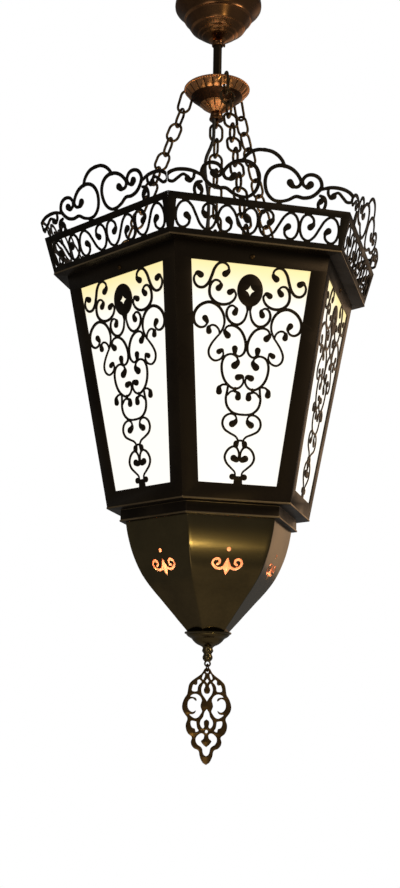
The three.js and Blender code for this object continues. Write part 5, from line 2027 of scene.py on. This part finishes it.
@dataclass
class Bowl:
    """The six-sided bowl with a pierced motif in each face.

    Args:
        top_z: Height of the bowl's top. The other heights here are depths below it.
        wall: Thickness, with corner the rounding of the six corners.
        curve: Corner radius and depth of the outside.
        dot: Place and radius of the round hole, with lozenge the outline of the opening under it.
        volute: Middle line of the right curl, with volute_width its width.
        span: Depths of the bowl's top and foot.
        fine_span: Depths between which the faces are finest, round the motif.
        fine_share: Share of a side's half width within which they are finest.
    """

    top_z: float = -783.3
    wall: float = 1.2
    corner: float = 2.4
    curve: tuple[Point, ...] = (
        (116.5, 0), (115.2, 8), (113.6, 16), (111, 26), (107.6, 37), (103.2, 48), (98, 59), (91.6, 70),
        (84.2, 80), (75.2, 90.5), (66.3, 100), (58, 109.2), (49.5, 118.5), (41.4, 127.6), (33.2, 136.4),
        (29, 141),
    )
    dot: tuple[float, float, float] = (0.0, 41.2, 2.6)
    lozenge: tuple[Point, ...] = (
        (0, 51), (2.6, 56.4), (5.3, 62), (3.6, 67), (0, 73.4), (-3.6, 67), (-5.3, 62), (-2.6, 56.4)
    )
    volute: tuple[Point, ...] = (
        (5, 63.8), (9.5, 65.4), (14.2, 64.4), (18, 61.9), (19.4, 58.4), (17.9, 54.8), (14.2, 53.3),
        (10.6, 55), (10.2, 58.6), (13, 60.2),
    )
    volute_width: float = 3.0
    span: Point = (-0.25, 141.25)
    fine_span: Point = (36.0, 76.0)
    fine_share: float = 0.58

    def build(self, shop: Shop) -> None:
        """Makes the bowl as one shell, with finer faces round the motif."""
        share = self.fine_share
        across = (*np.linspace(-1, -share, 6), *np.linspace(-share, share, 60), *np.linspace(share, 1, 6))
        shares = sorted({round(s, 4) for s in across})
        (top, foot), (start, end) = self.span, self.fine_span
        down = (*np.linspace(0, start, 10), *np.linspace(start, end, 52), *np.linspace(end, foot, 20))
        depths = sorted({top, *down})
        line = through(self.curve, 1.0)
        steps = 3
        radii = [float(np.interp(depth, line[:, 1], line[:, 0])) for depth in depths]
        rows = []
        for radius, depth in zip(radii, depths):
            ring = rounded_hexagon(radius, self.corner, shares, steps)
            rows.append([(x, y, self.top_z - depth) for x, y in ring])
        around = len(rows[0])
        field = np.full((len(rows), around), 10.0)
        for i, (radius, depth) in enumerate(zip(radii, depths)):
            half = radius / 2 - self.corner * MITRE
            metal = self._metal(np.array([s * half for s in shares]), depth)
            for k in range(SIDES):
                first = k * (around // SIDES) + steps
                field[i, first : first + len(shares)] = metal
        vertices, faces = self._clipped(np.array(rows), field)
        shell = Maker.piece("bowl_skin", vertices, faces, 35.0)
        thick = shell.modifiers.new("thickness", "SOLIDIFY")
        thick.thickness = self.wall * MM
        thick.offset = -1.0
        thick.use_even_offset = True
        mesh = Maker.shaped(shell)
        bpy.data.objects.remove(shell)
        bowl = Maker.finished("bowl_shell", mesh, 40.0)
        shop.fit(bowl, "lantern", shop.finishes.bowl_brass, "brass", "bowl")
        # The inside and upward faces get a paler copper: painted glow added to the inner lamp's light seen
        # through the motif.
        shop.patch(
            bowl,
            shop.finishes.bowl_inside_glow_copper,
            lambda middle, normal: middle.xy.dot(normal.xy) < 0 or normal.z > 0.8,
        )

    def _metal(self, across: np.ndarray, depth: float) -> np.ndarray:
        """Distance to the nearest opening of the motif, below zero inside one."""
        down = np.full(across.shape, depth)
        best = oval(self.dot[:2], self.dot[2], self.dot[2])(across, down)
        best = np.minimum(best, polygon(self.lozenge)(across, down))
        curve = through(self.volute, 1.5)
        for sign in (-1.0, 1.0):
            for a, b in zip(curve[:-1], curve[1:]):
                best = np.minimum(best, from_line(sign * across, down, a, b)[0] - self.volute_width / 2)
        return np.where(np.abs(best) < 1e-3, 1e-3, best)

    @staticmethod
    def _clipped(grid: np.ndarray, field: np.ndarray) -> tuple[list, list]:
        """Faces of a closed band of quads where the field is above zero, cut cleanly at zero.

        Args:
            grid: Points by row and place round the band.
            field: The field's value at each point.

        Returns:
            Vertices and faces.
        """
        rows, around = field.shape
        vertices: list = []
        known: dict[tuple, int] = {}

        def number(key: tuple, spot: np.ndarray) -> int:
            """The number of a vertex, made if it is new."""
            if key not in known:
                known[key] = len(vertices)
                vertices.append(spot)
            return known[key]

        faces = []
        for i in range(rows - 1):
            for k in range(around):
                n = (k + 1) % around
                corners = [(i, k), (i, n), (i + 1, n), (i + 1, k)]
                values = [field[c] for c in corners]
                if max(values) <= 0:
                    continue
                ring = []
                for a in range(4):
                    b = (a + 1) % 4
                    if values[a] > 0:
                        ring.append(number(corners[a], grid[corners[a]]))
                    if (values[a] > 0) != (values[b] > 0):
                        t = values[a] / (values[a] - values[b])
                        spot = grid[corners[a]] * (1 - t) + grid[corners[b]] * t
                        ring.append(number(tuple(sorted((corners[a], corners[b]))), spot))
                if len(ring) > 2:
                    faces.append(ring)
        return vertices, faces


@dataclass
class Finial:
    """Cap and beaded stem under the bowl, a small ring and the pierced drop.

    Args:
        top_z: Height of the cap's top, with cap its radius and depth down to the stem's foot.
        eye_z: Height of the stem's eye, with eye its radius and wire.
        ring_z: Height of the small ring, with ring its radius and wire.
        drop_top: Height of the drop's top, with half the outline of its right half.
        drop_thickness: The drop's thickness, with edge the rounding of its edges.
        hole_z: Height of the hole that it hangs by, with hole its radius.
        star: Depth, half width, half height and waist of the star near the top.
        eyelet: Depth and radius of the round hole.
        slots: Openings of the right half, with leaves the outer and inner line of those in the middle.
        grid: Distance between the stencil's points.
    """

    top_z: float = -924.6
    eye_z: float = -966.1
    ring_z: float = -971.6
    drop_top: float = -972.2
    drop_thickness: float = 1.6
    hole: float = 1.9
    star: tuple[float, float, float, float] = (16.8, 2.5, 3.2, 0.95)
    eyelet: Point = (82.6, 2.1)
    edge: float = 0.3
    grid: float = 0.3
    eye: Point = (3.6, 1.25)
    ring: Point = (4.6, 1.05)
    hole_z: float = -976.7
    cap: tuple[Point, ...] = (
        (0, 0), (30.6, 0.1), (31.3, 0.9), (31.2, 1.9), (30.2, 2.7), (28.9, 3), (28.7, 4), (27.8, 4.8),
        (26.9, 5.8), (25.2, 7), (22.8, 8.2), (21.2, 9.6), (19.9, 11.4), (18.4, 13), (16.5, 14.7),
        (14.6, 16), (12.6, 17.1), (10.2, 18.1), (8.2, 19.1), (7, 20.2), (6.6, 21.4), (7, 22.8), (7.5, 24.2),
        (7.4, 25.6), (6.3, 27), (5.5, 28.2), (5.3, 29.2), (5.8, 30.4), (6.6, 32), (6.8, 33.8), (6.5, 35.4),
        (5.6, 36.9), (4.6, 38), (4.2, 38.5), (0, 38.5),
    )
    half: tuple[Point, ...] = (
        (2.4, 0), (3.8, 1), (4.9, 3), (6.6, 5.8), (9.4, 8.8), (14.2, 12.2), (20, 16.4), (23.9, 20.6),
        (25.4, 25), (26.2, 30.4), (27.2, 35), (29.6, 38.4), (32, 43.2), (33.4, 48), (33.6, 52), (32.2, 57),
        (29, 61.6), (26.4, 65), (26.2, 68), (27.9, 72.4), (28.2, 77), (27, 82), (24.4, 86.2), (20.2, 89.2),
        (19.5, 91.6), (20.8, 95.6), (20, 100.2), (16.4, 104.6), (11.4, 106.6), (9.6, 109), (9, 112.8),
        (7.2, 118.2), (4.2, 123), (0, 125.7),
    )

    slots: tuple[tuple[Point, ...], ...] = (
        ((3, 8.4), (4.2, 7), (6.6, 10.6), (7.2, 13.8), (5.6, 15.2), (3.8, 12.2)),
        (
            (10.7, 14.9), (13.3, 16.4), (13.5, 20.6), (15.4, 22.5), (18.7, 21.9), (20.2, 25.3), (20.5, 30),
            (13.6, 30.3), (12.5, 25.2), (10.7, 21.3), (7.6, 18),
        ),
        (
            (23.1, 37.6), (19.8, 35), (14.4, 34.2), (9.8, 36.6), (6.8, 41.9), (7.9, 46.5), (8.5, 49.9),
            (7.4, 53.2), (6.3, 56.5), (8.4, 60.5), (11.8, 64.5), (15.8, 65.7), (19.8, 64.1), (23.3, 60.9),
            (19.1, 60.6), (16, 58.7), (14.9, 55.5), (17.4, 57.1), (20.3, 57.5), (23.6, 55.6), (25.9, 51.9),
            (26.3, 47.9), (25.3, 43.5), (22.5, 40.7), (19.2, 40.2), (17, 41.7), (14.6, 43.3), (14.1, 41.5),
            (15.4, 39.3), (18.5, 38.2),
        ),
        (
            (14, 69.9), (21.2, 69.3), (21.6, 73.8), (19.4, 77.9), (15.9, 79.3), (14.6, 83.3), (10.6, 81.6),
            (12.5, 78.5), (13.4, 74.2),
        ),
    )
    leaves: tuple[tuple[tuple[Point, ...], tuple[Point, ...]], ...] = (
        (
            ((2.7, 21.9), (4.9, 20.3), (7.3, 24.6), (8, 29.3), (6.3, 34.6), (2.3, 39.9), (0, 43.6)),
            ((2.7, 21.9), (2.7, 24.5), (4.2, 27.5), (3.9, 30.8), (2.5, 33), (0, 33.7)),
        ),
        (
            ((0, 53.5), (3.2, 57.8), (4.9, 63.8), (8.2, 68.5), (8.9, 73.1), (7.2, 76.9), (4.6, 78.9)),
            ((0, 67), (3.2, 69.1), (3.6, 72.5), (2.9, 76.5), (4.6, 78.9)),
        ),
        (
            (
                (2.7, 87.8), (3.9, 86), (7.2, 85.1), (11.9, 87.8), (14.3, 91.1), (14.3, 95.7), (11.7, 99.7),
                (7.4, 102.4), (5.5, 105.1), (4.6, 109.7), (2.8, 113), (0, 114.4),
            ),
            ((2.7, 87.8), (3.6, 91.8), (7, 95.1), (4, 99.7), (0, 102.8)),
        ),
    )

    def build(self, shop: Shop) -> None:
        """Makes the finial, the ring and the drop."""
        brass, drop_brass = shop.finishes.bowl_brass, shop.finishes.drop_brass
        body = Maker.revolution([(r, self.top_z - d) for r, d in self.cap], 72)
        radius, wire = self.eye
        eye = Maker.link(radius, radius, wire, ACROSS, UP, (0, 0, self.eye_z))
        cap = Maker.piece("finial_cap", *Maker.joined([body, eye]), 40.0)
        shop.fit(cap, "lantern", brass, "brass", "finial")
        radius, wire = self.ring
        link = Maker.link(radius, radius, wire, AWAY, UP, (0, 0, self.ring_z))
        shop.fit(Maker.piece("drop_jump_ring", *link, 60.0), "drop_ring", drop_brass, "brass", "drop_ring")
        shop.fit(self._drop(), "drop", drop_brass, "dark_bronze", "drop")

    def _drop(self) -> bpy.types.Object:
        """The pierced plate: its outline, slots, leaves, star and round holes."""
        stencil = Stencil((-36, -128), (36, 2), self.grid)
        right = [(x, -y) for x, y in through(self.half, 1.5)]
        outline = right + mirrored(right[:-1])[::-1]
        stencil.add(stencil.low, np.array([36.0, 2.0]), polygon(outline))
        stencil.open(oval((0, self.hole_z - self.drop_top), self.hole, self.hole))
        depth, half_width, half_height, waist = self.star
        stencil.open(star((0, -depth), half_width, half_height, waist))
        depth, radius = self.eyelet
        stencil.open(oval((0, -depth), radius, radius))
        for points in self.slots:
            cut = polygon(self._loop((*points, points[0])))
            stencil.open(cut)
            stencil.open(lambda gx, gy, cut=cut: cut(-gx, gy))
        for outer, inner in self.leaves:
            half = self._loop(outer) + self._loop(inner)[::-1]
            stencil.open(polygon(half))
            stencil.open(polygon(mirrored(half)))
        mesh = Maker.sheet("drop_plate", stencil.outlines(), self.drop_thickness, self.edge)
        upright_axes = Matrix(((1, 0, 0, 0), (0, 0, -1, 0), (0, 1, 0, 0), (0, 0, 0, 1)))
        centred = Matrix.Translation((0, 0, self.drop_thickness / 2))
        place = Matrix.Translation((0, 0, self.drop_top * MM)) @ Matrix.Scale(MM, 4)
        mesh.transform(place @ upright_axes @ centred)
        return Maker.finished("drop_plate", mesh)

    @staticmethod
    def _loop(points: Profile) -> list[Point]:
        """A smooth line through points of width and depth, as a list of x and y."""
        return [(x, -y) for x, y in through(points, 1.0)]


@dataclass
class Lamps:
    """Spider, hollow stem with three arms, porcelain holders and glowing bulbs.

    Args:
        circle: Radius that the three lamps stand on.
        bulb_top: Height where the bulbs start.
        holder: Profile of a holder.
        glass: Radius and depth of a bulb.
        stem: Profile of the stem and its round body.
        stem_eye: Radius, wire and height of the stem's eye.
        arm: Radius of an arm, where it starts, where it ends, and its height.
    """

    circle: float = 60.0
    bulb_top: float = -546.3
    holder: tuple[Point, ...] = (
        (0, -529), (11, -529), (15, -531), (17.6, -536), (17.8, -552), (17, -554), (17.8, -556),
        (17.8, -571), (13.8, -571), (13.8, -546), (0, -546),
    )
    glass: tuple[Point, ...] = (
        (0, 0), (9, 0), (12.6, 2.5), (12.8, 26), (14.5, 33), (19.5, 44), (25.6, 56), (29.2, 68), (29.9, 78),
        (28.4, 88), (24.2, 97), (17.4, 104.4), (9, 108.4), (0, 109),
    )
    stem: tuple[Point, ...] = (
        (0, -534.7), (6, -534.2), (11, -532), (15.6, -528.7), (16, -524), (14.5, -520.7), (8.4, -515),
        (5, -512), (5, -444.4), (10, -444.4), (10, -442.2), (5, -440.6), (0, -440.4),
    )
    stem_eye: Spot = (5.5, 1.9, -434.9)
    arm: tuple[float, float, float, float] = (3.9, 6.0, 62.0, -524.7)

    def build(self, shop: Shop) -> None:
        """Makes the cluster, the holders and the bulbs, and dresses the rest."""
        # The spider takes the same pale bronze as its own colour.
        shop.keep("spider", shop.finishes.pale_highlight_bronze)
        shop.keep("flex_grommet", shop.finishes.rubber)
        self._cluster(shop)
        ring, sides = Maker.revolution(Maker.softened(self.holder, 0.8), 40)
        bulb, faces = Maker.revolution([(r, self.bulb_top - d) for r, d in self.glass], 40)
        for k in range(3):
            spot = rotation((2 * k + 1) * SIXTH) @ Vector((0, -self.circle, 0))
            cup = Maker.piece(f"porcelain_holder_{k + 1}", [Vector(p) + spot for p in ring], sides)
            shop.fit(cup, "lantern", shop.finishes.porcelain, "porcelain", f"lamp_holder_{k + 1}")
            lamp = Maker.piece(f"frosted_bulb_{k + 1}", [Vector(p) + spot for p in bulb], faces, 50.0)
            shop.fit(lamp, "lantern", shop.finishes.bulb, "frosted_glass", f"bulb_{k + 1}")

    def _cluster(self, shop: Shop) -> None:
        """The stem, its eye and its three arms."""
        radius, wire, height = self.stem_eye
        eye = Maker.link(radius, radius, wire, ACROSS, UP, (0, 0, height))
        lumps = [Maker.revolution(Maker.softened(self.stem, 0.7), 48), eye]
        radius, start, end, height = self.arm
        tube, faces = Maker.wire(np.array([(0, -start, height), (0, -end, height)]), radius, 20, False)
        for k in range(3):
            turn = rotation((2 * k + 1) * SIXTH)
            lumps.append(([turn @ Vector(p) for p in tube], faces))
        cluster = Maker.piece("lamp_stem_and_arms", *Maker.joined(lumps), 40.0)
        shop.fit(cluster, "lantern", shop.finishes.drop_brass, "brass", "lamp_cluster")


def main() -> None:
    """Builds the camera, the lantern and the studio in order."""
    logging.basicConfig(level=logging.INFO, format="%(name)s: %(message)s")
    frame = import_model()
    shop = Shop(frame, Finishes())
    PhotoCamera().build()
    Flex().build(shop)
    for kind in (CeilingFittings, FlutedDish, Chains, Gallery, Body, Ledges, Bowl, Finial, Lamps):
        kind().build(shop)
        LOG.info("%s done", kind.__name__)
    Studio().build()


if __name__ == "__main__":
    main()
